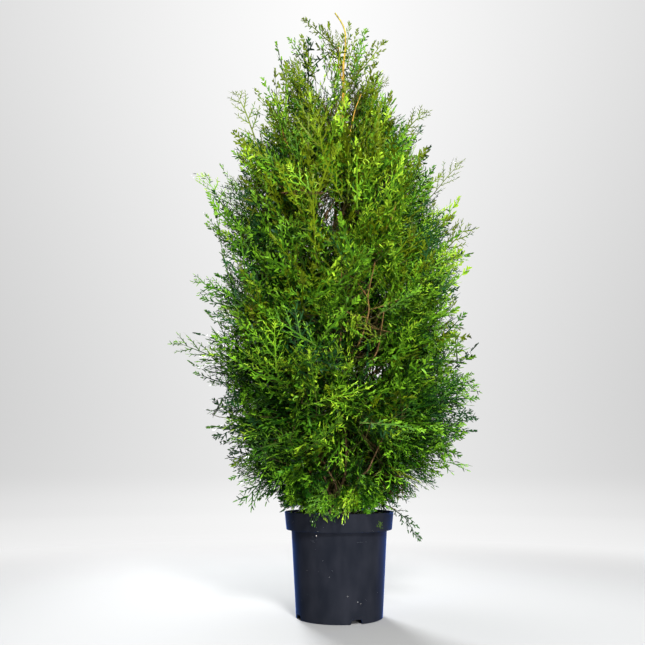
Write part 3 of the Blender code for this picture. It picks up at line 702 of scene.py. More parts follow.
def along(rows, place):
    """Read a table of rows at a place in its first column."""
    table = np.array(rows, dtype=float)
    return [float(np.interp(place, table[:, 0], table[:, column])) for column in range(1, table.shape[1])]


def bezier(start, first, second, end, count):
    """Points along a cubic curve with two handles."""
    share = np.linspace(0.0, 1.0, count)[:, None]
    rest = 1.0 - share
    near = rest ** 3 * start + 3 * rest ** 2 * share * first
    return near + 3 * rest * share ** 2 * second + share ** 3 * end


def smooth_line(points, count):
    """Points evenly spread on the smooth curve through equally spaced points."""
    points = np.array(points, dtype=float)
    spans = len(points) - 1
    line = []
    for place in np.linspace(0.0, spans, count):
        span = min(int(place), spans - 1)
        share = place - span
        before = points[max(span - 1, 0)]
        start = points[span]
        end = points[span + 1]
        after = points[min(span + 2, spans)]
        bend = 2 * before - 5 * start + 4 * end - after
        twist = 3 * (start - end) + after - before
        line.append(start + 0.5 * share * ((end - before) + share * (bend + share * twist)))
    return np.array(line)


def crown_reach(azimuth, height):
    """How far the crown reaches at an azimuth and a height."""
    left, right = along(CROWN_OUTLINE, height)
    return lerp(left, right, (1.0 + math.cos(math.radians(azimuth))) / 2.0)


class Limb:
    """A line of points with radii."""

    def __init__(self, points, radii):
        self.points = np.array(points)
        self.radii = np.array(radii)

    def at(self, share):
        """The place and direction at a share of the line."""
        place = share * (len(self.points) - 1)
        span = min(int(place), len(self.points) - 2)
        low = self.points[span]
        high = self.points[span + 1]
        return lerp(low, high, place - span), unit(high - low)


def make_trunk_line():
    """The trunk from the soil up to the leader's tip."""
    line = smooth_line([(x, y, height) for height, x, y in TRUNK_LINE], TRUNK_POINTS)
    foot = SOIL_TOP
    top = TRUNK_LINE[-1][0]
    radii = []
    for point in line:
        share = min(max((point[2] - foot) / (top - foot), 0.0), 1.0)
        flare = FLARE_RADIUS * math.exp(-(point[2] - foot) / FLARE_HEIGHT)
        taper = (1.0 - share) ** TRUNK_TAPER
        radii.append(TRUNK_TIP_RADIUS + (TRUNK_RADIUS - TRUNK_TIP_RADIUS) * taper + flare)
    return Limb(line, radii)


def trunk_at(trunk, height):
    """Centre, direction and radius of the trunk at a height."""
    span = int(np.clip(np.searchsorted(trunk.points[:, 2], height) - 1, 0, len(trunk.points) - 2))
    low = trunk.points[span]
    high = trunk.points[span + 1]
    share = (height - low[2]) / (high[2] - low[2])
    return lerp(low, high, share), unit(high - low), lerp(trunk.radii[span], trunk.radii[span + 1], share)


class Mass:
    """One mass of foliage: its middle, its bough and the stem that carries its twigs."""

    def __init__(self, name, middle, azimuth, root_height, has_bough):
        self.name = name
        self.middle = np.array(middle, dtype=float)
        self.azimuth = azimuth
        self.root_height = root_height
        self.has_bough = has_bough
        self.bough = None
        self.stem = None


def place_masses(trunk):
    """The masses of foliage, in tiers with a bough each and at the top without."""
    masses = []
    for tier, (height, count, first, root_height) in enumerate(TIERS, start=1):
        for number in range(count):
            azimuth = first + 360.0 * number / count
            middle = heading(azimuth) * crown_reach(azimuth, height) * MIDDLE_REACH
            middle = middle + UP * (height + TIER_STAGGER * (-1) ** number)
            root = root_height + ROOT_STAGGER * number / (count - 1)
            masses.append(Mass("%d_%d" % (tier, number + 1), middle, azimuth, root, True))
    for name, middle, root in TOP_MASSES:
        azimuth = math.degrees(math.atan2(middle[1], middle[0] - trunk_at(trunk, root)[0][0]))
        masses.append(Mass(name, middle, azimuth, root, False))
    return masses


def space_distance(mass, point):
    """How far a point is from a mass's middle, with heights counting less."""
    apart = (point - mass.middle) * np.array((1.0, 1.0, SPACE_STRETCH))
    return float(np.linalg.norm(apart))


def within_space(mass, masses, point):
    """A point brought towards the mass's middle until it is nearer to it than to any other middle."""
    for share in np.linspace(1.0, 0.0, SPACE_STEPS):
        place = lerp(mass.middle, point, share)
        own = space_distance(mass, place)
        if all(space_distance(other, place) > own + SPACE_GAP for other in masses if other is not mass):
            return place
    return mass.middle


def in_crown(point, margin=0.0):
    """Whether a point lies within the crown's outline by a margin."""
    azimuth = math.degrees(math.atan2(point[1], point[0]))
    reach = crown_reach(azimuth, point[2] + margin)
    return point[2] < CROWN_TOP and math.hypot(point[0], point[1]) < reach - margin


def within_outline(mass, point):
    """A point brought towards the mass's middle until it lies well within the crown's outline."""
    for share in np.linspace(1.0, LEAST_STEM_SHARE, OUTLINE_STEPS):
        place = lerp(mass.middle, point, share)
        if in_crown(place, STEM_DEPTH):
            return place
    return place


def plan_limbs(masses, trunk):
    """The bough and the stem of each mass, on the same lines as the solids."""
    for mass in masses:
        centre, direction, radius = trunk_at(trunk, mass.root_height)
        way = heading(mass.azimuth)
        way = unit(way - direction * way.dot(direction))
        start = centre + way * radius * ROOT_SUNK
        reach = crown_reach(mass.azimuth, mass.middle[2])
        if mass.has_bough:
            level = np.array((mass.middle[0], mass.middle[1], 0.0)) * BOUGH_END_REACH
            end = level + UP * max(mass.middle[2] - BOUGH_END_DROP, mass.root_height + LEAST_BOUGH_CLIMB)
            end = within_space(mass, masses, end)
            to_middle = unit(mass.middle - end)
            shoulder = start + way * BOUGH_SHOULDER + UP * BOUGH_SHOULDER * SHOULDER_RISE
            points = bezier(start, shoulder, end - to_middle * BOUGH_SHOULDER, end, BOUGH_POINTS)
            radii = np.linspace(BOUGH_ROOT_RADIUS, BOUGH_TIP_RADIUS, BOUGH_POINTS)
            radii[:len(SHOULDER_SWELL)] += np.array(SHOULDER_SWELL)
            mass.bough = Limb(points, radii)
            start = end
            first = end + to_middle * STEM_START
            radius = BOUGH_TIP_RADIUS
            outer_end = mass.middle + heading(mass.azimuth) * reach * STEM_SPREAD + UP * STEM_CLIMB
        else:
            first = start + way * TOP_STEM_START + UP * TOP_STEM_RISE
            radius = radius * TOP_STEM_SHARE
            outer_end = mass.middle + heading(mass.azimuth) * reach * TOP_STEM_SPREAD + UP * TOP_STEM_CLIMB
        outer_end = within_outline(mass, within_space(mass, masses, outer_end))
        bend = UP * STEM_BEND
        inner = bezier(start, first, mass.middle - bend, mass.middle, STEM_POINTS)
        outer = bezier(mass.middle, mass.middle + bend, outer_end - bend, outer_end, STEM_POINTS)
        points = np.vstack((inner, outer[1:]))
        mass.stem = Limb(points, np.linspace(radius, STEM_TIP_RADIUS, len(points)))


class Spray:
    """One spray: where its tip and root end are, which way its flat side faces, and how it bends."""

    def __init__(self, tip, azimuth, depth, rng, length=SPRAY_LENGTH):
        spread = OUTER_SPREAD if depth > OUTER_DEPTH else INNER_SPREAD
        climb = reading(SPRAY_CLIMBS, tip[2]) + rng.normal(0.0, CLIMB_SPREAD)
        self.growth = growth_direction(azimuth + rng.normal(0.0, spread), climb)
        self.azimuth = azimuth
        self.tip = tip
        self.depth = depth
        self.slender = False
        self.tone = None
        self.length = length * rng.uniform(*SPRAY_SCALES)
        self.bend = rng.normal(*UPPER_BEND) if tip[2] > BEND_HEIGHT else rng.normal(*LOWER_BEND)
        self.cup = rng.normal(*SPRAY_CUP)
        self.aim(tip, self.growth, rng)

    def aim(self, tip, growth, rng):
        """Set the spray's tip and direction, and turn its flat side."""
        self.tip = tip
        self.growth = growth
        self.base = tip - growth * self.length
        outward = heading(self.azimuth)
        facing = unit(outward - growth * outward.dot(growth))
        sideways = np.cross(growth, facing)
        roll = math.radians(EDGE_ROLL + rng.normal(0.0, EDGE_ROLL_SPREAD))
        if rng.random() < FLAT_SHARE:
            roll = math.radians(rng.normal(0.0, FLAT_ROLL_SPREAD))
        self.normal = facing * math.cos(roll) + sideways * math.sin(roll)
        self.across = np.cross(self.normal, growth)

    def place(self, points):
        """Points of a template along +X, moved to the spray: scaled, cupped and bent."""
        scale = self.length / TEMPLATE_LENGTH
        x = points[:, 0:1] * scale
        y = points[:, 1:2] * scale
        z = points[:, 2:3] * scale - self.cup * y ** 2
        flat = self.base + self.growth * x + self.across * y + self.normal * z
        return flat + UP * self.bend * (x ** 2 / self.length - x)

    def probes(self, places, half):
        """Points of the spray at places along it: on its midline and at half widths to both sides."""
        return self.place(np.array([(x, y, 0.0) for x in places for y in (-half, 0.0, half)]))

    def clears_pot(self):
        """Whether the spray keeps out of the pot's wall and the soil."""
        half = POT_SLENDER_WIDTH if self.slender else POT_HALF_WIDTH
        for point in self.probes(POT_PROBES, half):
            radius = math.hypot(point[0], point[1])
            lowest = (SOIL_TOP if radius < RIM_RADIUS - RIM_MARGIN else POT_HEIGHT) + POT_CLEARANCE
            if radius < RIM_RADIUS + POT_CLEARANCE and point[2] < lowest:
                return False
        return True

    def keeps_in_box(self):
        """Whether the spray stays near enough to the box of the solids."""
        low = np.array(cad_box[0])[:2] - BOX_MARGIN
        high = np.array(cad_box[1])[:2] + BOX_MARGIN
        points = self.probes(BOX_PROBES, BOX_HALF_WIDTH)[:, :2]
        return bool(np.all(points > low) and np.all(points < high))

    def shows_gaps(self):
        """Whether the spray leaves open the gaps that show the boughs and the sky."""
        half = WINDOW_SLENDER_WIDTH if self.slender else WINDOW_HALF_WIDTH
        for point in self.probes(WINDOW_PROBES, half):
            for *ellipse, depth in WINDOWS:
                if point[1] < depth and in_ellipse(point[0], point[2], ellipse):
                    return False
            near = CAMERA_PLACE[1] / (CAMERA_PLACE[1] - point[1])
            side = CAMERA_PLACE[0] + (point[0] - CAMERA_PLACE[0]) * near
            level = CAMERA_PLACE[2] + (point[2] - CAMERA_PLACE[2]) * near
            if any(in_ellipse(side, level, ellipse) for ellipse in SKY_GAPS):
                return False
        return True

    def fits(self):
        """Whether the spray may stay in the crown."""
        return self.clears_pot() and self.keeps_in_box() and self.shows_gaps()


def in_ellipse(side, level, ellipse):
    """Whether a place lies in an ellipse, given by its middle and half sizes."""
    x, height, half_width, half_height = ellipse
    return ((side - x) / half_width) ** 2 + ((level - height) / half_height) ** 2 < 1.0


def lumpy(angle, height, rows):
    """A factor that swells and sinks round an upright axis and along it."""
    factor = 1.0
    for around, upward, strength in rows:
        place = (math.cos(angle) * around, math.sin(angle) * around, height * upward)
        factor += strength * noise.noise(Vector(place))
    return factor


def spray_chance(azimuth, height, depth):
    """The share of sprays kept: fewer high up, before the leader, low at the right and in patches."""
    chance = reading(KEPT, height)
    if depth < OUTER_DEPTH:
        chance *= reading(KEPT_DEEPER, height)
    if height < RIGHT_FOOT_HEIGHT and math.cos(math.radians(azimuth)) > RIGHT_FOOT_COSINE:
        chance *= RIGHT_FOOT_SHARE
    if height > LEADER_HEIGHT and math.cos(math.radians(azimuth - FRONT)) > LEADER_COSINE:
        chance *= LEADER_SHARE
    around = heading(azimuth) * PATCHES_AROUND
    place = Vector(around + UP * height * PATCHES_UPWARD + UP * PATCHES_PLACE)
    return chance * reading(KEPT_IN_PATCHES, noise.noise(place))


def box_reach(azimuth):
    """How far a tip may reach at an azimuth within the sides of the solids' box."""
    way = heading(azimuth)
    limits = []
    for axis in (0, 1):
        side = cad_box[1][axis] if way[axis] > 0.0 else cad_box[0][axis]
        limits.append(side / way[axis] if abs(way[axis]) > LEAST_SLOPE else 1.0)
    return min(limits)


def stem_sprays(masses, rng):
    """Sprays that clothe the outer half and the end of each stem."""
    sprays = []
    for mass in masses:
        for number in range(STEM_SPRAYS):
            share = lerp(STEM_SPRAY_START, 1.0, number / (STEM_SPRAYS - 1))
            point, way = mass.stem.at(share)
            turn = mass.azimuth + (0.0 if share == 1.0 else STEM_SPRAY_TURN * (-1) ** number)
            slant = unit(way + heading(turn) * (STEM_END_SLANT if share == 1.0 else STEM_SPRAY_SLANT))
            spray = Spray(point, mass.azimuth, STEM_SPRAY_DEPTH, rng)
            spray.slender = point[2] > STEM_SLENDER_HEIGHT
            while spray.length > LEAST_SPRAY_LENGTH and not in_crown(point + slant * spray.length):
                spray.length *= SPRAY_SHORTER
            spray.aim(point + slant * spray.length * STEM_SPRAY_REACH, slant, rng)
            if spray.fits():
                sprays.append(spray)
    return sprays


def shown_sprays(limbs, rng):
    """Sprays that grow from the shown stems and twigs, to both sides and a little inwards."""
    sprays = []
    for limb in limbs:
        for number, share in enumerate(SHOWN_SPRAY_SHARES):
            point, way = limb.at(share)
            side = heading(RIGHT) * (-1) ** number * rng.uniform(*SHOWN_SIDEWAYS)
            slant = unit(way + side + heading(BACK) * rng.uniform(*SHOWN_INWARDS))
            spray = Spray(point, FRONT, SHOWN_DEPTH, rng, SHOWN_LENGTH)
            spray.bend = rng.normal(0.0, SHOWN_BEND)
            spray.aim(point + slant * spray.length, slant, rng)
            sprays.append(spray)
    return sprays


def hanging_sprays(rng):
    """Sprays over the pot's rim: a pale clump in front, and a drooping twig at the right."""
    tips = [np.array(tip) for tip in RIM_TIPS]
    for _ in range(RIM_SPRAYS):
        tips.append(np.array([rng.uniform(*span) for span in (RIM_SIDES, RIM_DEPTHS, RIM_HEIGHTS)]))
    sprays = []
    for tip in tips:
        azimuth = math.degrees(math.atan2(tip[1], tip[0])) + rng.normal(0.0, RIM_TURN)
        spray = Spray(tip, azimuth, 1.0, rng, RIM_LENGTH)
        spray.tone = int(rng.choice(RIM_TONES))
        sprays.append(spray)
    start, tip = (np.array(point) for point in DROOPING_TWIG)
    spray = Spray(tip, FRONT, 1.0, rng)
    spray.length = np.linalg.norm(tip - start)
    spray.bend = DROOPING_BEND
    spray.slender = True
    # Painted shade: the drooping twig takes the darkest green
    spray.tone = SHADE
    spray.aim(tip, unit(tip - start), rng)
    spray.normal = heading(FRONT)
    spray.across = np.cross(spray.normal, spray.growth)
    sprays.append(spray)
    return sprays


def tip_sprays(rng):
    """Sprays at the long tips of the outline and at the shoots high in the crown."""
    sprays = []
    for azimuth, reach, height in LONG_TIPS:
        spray = Spray(heading(azimuth) * reach + UP * height, azimuth, 1.0, rng)
        # Painted shade: the long tips low in the crown take a dark green
        if height < LOW_TIP:
            spray.tone = DEEP
        sprays.append(spray)
    for (x, y, height), climb in zip(TOP_TIPS + TOP_SHOOTS, TOP_CLIMBS + SHOOT_CLIMBS):
        spray = Spray(np.array((x, y, height)), math.degrees(math.atan2(y, x)), 1.0, rng)
        spray.slender = True
        spray.aim(spray.tip, growth_direction(RIGHT if x > 0.0 else LEFT, climb), rng)
        sprays.append(spray)
    return sprays


def foot_sprays(rng):
    """Short sprays low in the crown, round the trunk and over the pot's rim."""
    sprays = []
    for number in range(FOOT_SPRAYS):
        azimuth = number * FOOT_TURN
        tip = heading(azimuth) * rng.uniform(*FOOT_REACHES) + UP * rng.uniform(*FOOT_HEIGHTS)
        spray = Spray(tip, azimuth, FOOT_DEPTH, rng, FOOT_LENGTH)
        spray.slender = tip[2] < FOOT_SLENDER_HEIGHT
        if spray.clears_pot() and spray.shows_gaps():
            sprays.append(spray)
    return sprays


def layer_sprays(count, low, high, least, most, depth, rng):
    """One layer of the crown, its tips evenly spread by height and turned by the golden angle."""
    sprays = []
    heights = np.linspace(low, high, HEIGHT_STEPS)
    girths = np.array([crown_reach(RIGHT, height) + crown_reach(LEFT, height) for height in heights])
    girths[heights < LOW_CROWN] *= LOW_CROWN_SHARE
    passed = np.cumsum(girths) / girths.sum()
    for number in range(count):
        height = float(np.interp((number + 0.5) / count, passed, heights))
        height += rng.uniform(-HEIGHT_SHAKE, HEIGHT_SHAKE)
        azimuth = (number * GOLDEN_ANGLE + rng.uniform(-AZIMUTH_SHAKE, AZIMUTH_SHAKE)) % 360.0
        if rng.random() > spray_chance(azimuth, height, depth):
            continue
        share = rng.uniform(least, most)
        reach = crown_reach(azimuth, height) * share * lumpy(math.radians(azimuth), height, CROWN_LUMPS)
        reach = min(reach, box_reach(azimuth))
        for _ in range(SPRAY_TRIES):
            spray = Spray(heading(azimuth) * reach + UP * height, azimuth, share, rng)
            slender = reading(SLENDER_SHARES, height)
            spray.slender = share > FRINGE_SHARE or (share > OUTER_DEPTH and rng.random() < slender)
            if spray.fits():
                sprays.append(spray)
                break
    return sprays


def crown_sprays(masses, shown, rng):
    """All sprays: the tips, the rim, the foot, the stems and the layers of the crown."""
    sprays = tip_sprays(rng) + hanging_sprays(rng) + foot_sprays(rng)
    sprays += stem_sprays(masses, rng) + shown_sprays(shown, rng)
    for layer in SPRAY_LAYERS:
        sprays += layer_sprays(*layer, rng)
    return sprays


def root_spray(spray, masses):
    """Find the stem that carries a spray and the place where its twig leaves it."""
    middle = lerp(spray.base, spray.tip, TWIG_MIDDLE)
    mass = min(masses, key=lambda each: space_distance(each, middle))
    least = None
    limbs = [mass.stem] if mass.bough is None else [mass.stem, mass.bough]
    for limb in limbs:
        for share in np.linspace(*TWIG_SHARES):
            point, direction = limb.at(share)
            run = spray.base - point
            distance = np.linalg.norm(run)
            angle = math.degrees(math.acos(np.clip(direction.dot(unit(run)), -1.0, 1.0)))
            turn = math.degrees(math.acos(np.clip(spray.growth.dot(unit(run)), -1.0, 1.0)))
            miss = abs(angle - TWIG_ANGLE) + TWIG_TURN_WEIGHT * turn + TWIG_RUN_WEIGHT * distance
            if least is None or miss < least:
                least = miss
                spray.root = point
                spray.root_way = direction


def grow_shoot(blades, ribs, place, angle, length, side, spacing, rng):
    """One side shoot that curves forward, with its alternate branchlets."""
    curve = -side * math.radians(SHOOT_CURVE) * rng.uniform(*SHOOT_CURVE_SCALES)
    lift = rng.normal(0.0, SHOOT_LIFT)
    run = length / SHOOT_SPANS
    points = [np.array((place, 0.0, 0.0))]
    for step in range(SHOOT_SPANS):
        turn = angle + curve * (step + 0.5) / SHOOT_SPANS
        points.append(points[-1] + np.array((math.cos(turn) * run, math.sin(turn) * run, lift * run)))
    ribs.append((points[0], points[SHOOT_SPANS // 2], points[-1], RIB_WIDTH * SHOOT_RIB))
    travelled = FIRST_BLADE
    hand = side
    while travelled < length - LAST_BLADE:
        share = travelled / length
        span = int(share * SHOOT_SPANS)
        start = lerp(points[span], points[span + 1], share * SHOOT_SPANS - span)
        size = BLADE_LENGTH * (1.0 - BLADE_SHORTENING * share) * rng.uniform(*BLADE_SCALES)
        turn = angle + curve * share + hand * math.radians(BLADE_ANGLE + rng.normal(0.0, ANGLE_SPREAD))
        # Paler blades at the tips are new growth; darker blades towards the spray's inner end are painted
        # shade
        outer = share + PLACE_WEIGHT * place / TEMPLATE_LENGTH
        shift = -1 if outer > TIP_PLACE else (0 if outer > FRESH_PLACE else 1)
        if rng.random() < MIXED_SHARE:
            shift = int(rng.choice(MIXED_SHIFTS))
        blades.append((*start, turn, size, BLADE_WIDTH, rng.normal(0.0, BLADE_LIFT), shift))
        hand = -hand
        travelled += spacing * rng.uniform(*BLADE_SHAKE)
    blades.append((*points[-1], angle + curve, BLADE_LENGTH * TIP_BLADE, BLADE_WIDTH, lift, -1))


def spray_rows(rng, slender):
    """One flat spray along +X: a row for each blade, and the ribs of its shoots."""
    blades = []
    ribs = []
    side = 1
    place = FIRST_SHOOT
    most = SLENDER_SHOOT_LENGTH * rng.uniform(*SLENDER_SCALES) if slender else SHOOT_LENGTH
    spacing = BLADE_STEP * SLENDER_STEP if slender else BLADE_STEP
    while place < TEMPLATE_LENGTH - LAST_SHOOT:
        share = place / TEMPLATE_LENGTH
        length = most * reading(SHOOT_EDGE, share) * rng.uniform(*SHOOT_SCALES)
        angle = side * math.radians(reading(SHOOT_ANGLES, share) + rng.normal(0.0, ANGLE_SPREAD))
        if length > LEAST_SHOOT:
            grow_shoot(blades, ribs, place, angle, length, side, spacing, rng)
        else:
            lift = rng.normal(0.0, BLADE_LIFT)
            blades.append((place, 0.0, 0.0, angle, BLADE_LENGTH, BLADE_WIDTH, lift, 0))
        side = -side
        place += SHOOT_STEP * rng.uniform(*SHOOT_SHAKE)
    for step in range(END_BLADES):
        start = TEMPLATE_LENGTH - END_START + step * END_STEP
        turn = (-1) ** step * math.radians(END_ANGLE)
        length = BLADE_LENGTH * (END_LENGTH - END_SHORTENING * step)
        blades.append((start, 0.0, 0.0, turn, length, BLADE_WIDTH, 0.0, -1))
    start = TEMPLATE_LENGTH - LAST_PLACE
    blades.append((start, 0.0, 0.0, 0.0, BLADE_LENGTH * LAST_LENGTH, BLADE_WIDTH, 0.0, -1))
    end = np.array((TEMPLATE_LENGTH - RIB_END, 0.0, 0.0))
    ribs.append((np.zeros(3), end * MAIN_RIB_MIDDLE, end, RIB_WIDTH * MAIN_RIB))
    rows = np.array(blades)
    if slender:
        rows[:, WIDTH] *= SLENDER_BOLDNESS
    return rows, ribs


def blade_arrays(rows, rng):
    """Slim blades that taper to a slanted end, each turned about its own length: points and triangles."""
    start = rows[:, :TURN]
    turn = rows[:, TURN]
    way = np.stack((np.cos(turn), np.sin(turn), rows[:, LIFT]), axis=1)
    roll = rng.normal(0.0, BLADE_ROLL, (len(rows), 1))
    across = np.stack((-np.sin(turn), np.cos(turn), np.zeros(len(rows))), axis=1)
    across = across * np.cos(roll) + UP * np.sin(roll)
    foot = across * rows[:, WIDTH, None] / 2
    end = foot * BLADE_END
    run = way * rows[:, SIZE, None]
    corners = (start - foot, start + foot, start + run * BLADE_SLANT + end, start + run - end)
    points = np.stack(corners, axis=1).reshape(-1, 3)
    corner = np.arange(len(rows))[:, None] * len(corners)
    return points, np.vstack((corner + np.array((0, 1, 2)), corner + np.array((0, 2, 3))))


def rib_arrays(ribs):
    """Flat tapering strips along the shoots: points and triangles."""
    points = []
    faces = []
    for first, middle, last, half in ribs:
        run = unit(last - first)
        across = np.array((-run[1], run[0], 0.0)) * half
        number = len(points)
        end = last + run * RIB_END
        points.extend((first - across, first + across, middle - across, middle + across, end))
        faces.extend(((number, number + 2, number + 1), (number + 1, number + 2, number + 3)))
        faces.append((number + 2, number + 4, number + 3))
    return np.array(points), np.array(faces)


def template_meshes(rng, slender):
    """Meshes of one spray, one for each shift of tone: points and triangles."""
    rows, ribs = spray_rows(rng, slender)
    meshes = {shift: blade_arrays(rows[rows[:, SHIFT] == shift], rng) for shift in SHIFTS}
    points, faces = meshes[0]
    rib_points, rib_faces = rib_arrays(ribs)
    meshes[0] = (np.vstack((points, rib_points)), np.vstack((faces, rib_faces + len(points))))
    return meshes


class MeshStore:
    """Collects points and triangles for one joined piece."""

    def __init__(self):
        self.points = []
        self.faces = []
        self.count = 0
        self.triangles = 0

    def add(self, points, faces):
        """Take in one more shape."""
        self.points.append(points)
        self.faces.append(faces + self.count)
        self.count += len(points)
        self.triangles += len(faces)


def joined_mesh(name, points, faces, material, smooth=True):
    """Make one object from arrays of points and triangles, or from lists of such arrays."""
    points = np.vstack(points).astype(np.float32)
    faces = np.vstack(faces).astype(np.int32)
    mesh = bpy.data.meshes.new(name)
    mesh.vertices.add(len(points))
    mesh.vertices.foreach_set("co", points.ravel())
    mesh.loops.add(faces.size)
    mesh.loops.foreach_set("vertex_index", faces.ravel())
    mesh.polygons.add(len(faces))
    mesh.polygons.foreach_set("loop_start", np.arange(0, faces.size, faces.shape[1], dtype=np.int32))
    mesh.polygons.foreach_set("use_smooth", np.full(len(faces), smooth))
    mesh.update(calc_edges=True)
    mesh.materials.append(material)
    item = bpy.data.objects.new(name, mesh)
    bpy.context.scene.collection.objects.link(item)
    return item


def joined_piece(name, store, material, replaced=(), smooth=True):
    """Join a store into one piece of the part, with the solids that it replaces."""
    piece = joined_mesh(name, store.points, store.faces, material, smooth)
    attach(piece, BODY)
    if replaced:
        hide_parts(*replaced)


def tube_arrays(points, radii, sides, relief=None):
    """Points and triangles of a tube along a line, closed at both ends."""
    points = np.array(points)
    count = len(points)
    ways = np.gradient(points, axis=0)
    ways /= np.linalg.norm(ways, axis=1)[:, None]
    side_way = np.cross(ways[0], ODD_WAY)
    rings = []
    for number in range(count):
        side_way = unit(side_way - ways[number] * side_way.dot(ways[number]))
        other_way = np.cross(ways[number], side_way)
        angles = 2.0 * math.pi * np.arange(sides) / sides
        offsets = np.cos(angles)[:, None] * side_way + np.sin(angles)[:, None] * other_way
        swell = np.ones(sides)
        if relief is not None:
            swell = np.array([relief(points[number], offset) for offset in offsets])
        rings.append(points[number] + offsets * (radii[number] * swell)[:, None])
    shape = np.vstack(rings + [points[0], points[-1]])
    low = (np.arange(count - 1)[:, None] * sides + np.arange(sides)).ravel()
    after = (np.arange(count - 1)[:, None] * sides + (np.arange(sides) + 1) % sides).ravel()
    sides_first = np.stack((low, after, after + sides), axis=1)
    sides_second = np.stack((low, after + sides, low + sides), axis=1)
    ring = np.arange(sides)
    following = (ring + 1) % sides
    root = np.stack((np.full(sides, count * sides), following, ring), axis=1)
    last = (count - 1) * sides
    end = np.stack((np.full(sides, count * sides + 1), last + ring, last + following), axis=1)
    return shape, np.vstack((sides_first, sides_second, root, end))


def bark_relief(point, offset):
    """Shallow lengthwise ridges of fibrous bark, as a factor on the radius."""
    return lumpy(math.atan2(offset[1], offset[0]), point[2], BARK_RIDGES)


def grow_foliage(sprays, masses, rng):
    """Fill the joined pieces: stores for each tone, and one for the twigs."""
    full = [template_meshes(rng, False) for _ in range(TEMPLATES)]
    slender = [template_meshes(rng, True) for _ in range(SLENDER_TEMPLATES)]
    stores = {tone: [MeshStore()] for tone in range(len(TONES))}
    twigs = MeshStore()
    for spray in sprays:
        root_spray(spray, masses)
        choices = slender if spray.slender else full
        template = choices[rng.integers(len(choices))]
        tone = spray_tone(spray, rng)
        for shift, (points, faces) in template.items():
            parts = stores[blade_tone(tone, shift)]
            if parts[-1].triangles + len(faces) > PIECE_TRIANGLES:
                parts.append(MeshStore())
            parts[-1].add(spray.place(points), faces)
        twigs.add(*twig_arrays(spray))
    return stores, twigs


def blade_tone(tone, shift):
    """The tone of blades that are lighter or darker than the rest of their spray."""
    if tone < COOL_SHADE:
        return int(np.clip(tone + shift, 0, COOL_SHADE - 1))
    if tone == OLIVE and shift > 0:
        return MID if shift == 1 else DEEP
    return DEEP if tone == COOL_SHADE and shift == 2 else tone


def twig_arrays(spray):
    """The twig that leaves the stem at a slant and runs on into the spray."""
    run = np.linalg.norm(spray.base - spray.root)
    way = unit(spray.growth - UP * spray.bend)
    reach = min(run * TWIG_HANDLE, MOST_TWIG_HANDLE)
    handle = spray.root + spray.root_way * reach
    line = bezier(spray.root, handle, spray.base - way * reach, spray.base, TWIG_POINTS)
    inner = spray.place(np.array(((TWIG_INNER_PLACE, 0.0, 0.0),)))
    line = np.vstack((line, inner))
    return tube_arrays(line, np.linspace(TWIG_ROOT_RADIUS, TWIG_TIP_RADIUS, len(line)), TWIG_SIDES)


def spray_tone(spray, rng):
    """The tone of a spray: painted light, paler outside and in front; painted shade, darker inside, low
    down, at the back and sides; and painted cool shade at the sides.
    """
    if spray.tone is not None:
        return spray.tone
    x, y, height = spray.tip
    sideways = abs(x) / max(math.hypot(x, y), LEAST_REACH)
    outer = spray.depth > OUTER_DEPTH
    # Painted cool shade: a dark bluish green on outer sprays at the sides and on a few low down
    if outer and sideways > COOL_SIDE and height < COOL_SIDE_HEIGHT and rng.random() < COOL_SIDE_CHANCE:
        return COOL_SHADE
    if outer and height < COOL_HEIGHT and rng.random() < COOL_CHANCE:
        return COOL_SHADE
    if spray.depth < DRY_DEPTH and rng.random() < DRY_CHANCE:
        return DRY
    if rng.random() < reading(OLIVE_CHANCES, height):
        return OLIVE
    # Painted shade deeper in, low down, at the back and at the sides, and painted light in front; darker
    # towards the top
    tone = SURFACE_TONE + abs(SURFACE_DEPTH - spray.depth) * SHADE_BY_DEPTH
    tone -= reading(LIT_FRONT, height) * (1.0 - sideways)
    tone += reading(DARKER_TOP, height)
    tone += reading(SHADED_FOOT, height)
    tone += reading(SHADED_BACK, y)
    tone += reading(SHADED_RIGHT if x > 0.0 else SHADED_LEFT, height) * min(abs(x) / SHADED_SIDE_REACH, 1.0)
    return int(np.clip(round(tone + rng.normal(0.0, TONE_SPREAD)), 0, COOL_SHADE - 1))


def principled(name, colour, roughness, specular):
    """A material with nodes, and its shader."""
    made = bpy.data.materials.new(name)
    made.use_nodes = True
    shader = made.node_tree.nodes["Principled BSDF"]
    shader.inputs["Base Color"].default_value = (*colour, 1.0)
    shader.inputs["Roughness"].default_value = roughness
    shader.inputs["Specular IOR Level"].default_value = specular
    return made, shader


def add_node(material, kind, **values):
    """A node of a material, with its settings."""
    node = material.node_tree.nodes.new(kind)
    for name, value in values.items():
        setattr(node, name, value)
    return node


def link(material, start, end):
    """Join two sockets of a material's nodes."""
    material.node_tree.links.new(start, end)


def noise_node(material, scale, detail, stretch=(1.0, 1.0, 1.0)):
    """Noise in the object's own coordinates, stretched along its axes."""
    place = add_node(material, "ShaderNodeTexCoord")
    mapping = add_node(material, "ShaderNodeMapping")
    mapping.inputs["Scale"].default_value = stretch
    texture = add_node(material, "ShaderNodeTexNoise")
    texture.inputs["Scale"].default_value = scale
    texture.inputs["Detail"].default_value = detail
    link(material, place.outputs["Object"], mapping.inputs["Vector"])
    link(material, mapping.outputs["Vector"], texture.inputs["Vector"])
    return texture


def ramp_node(material, source, stops):
    """A colour ramp from rows of place and colour."""
    ramp = add_node(material, "ShaderNodeValToRGB")
    elements = ramp.color_ramp.elements
    while len(elements) < len(stops):
        elements.new(0.5)
    for element, (place, colour) in zip(elements, stops):
        element.position = place
        element.color = (*colour, 1.0)
    link(material, source, ramp.inputs["Fac"])
    return ramp


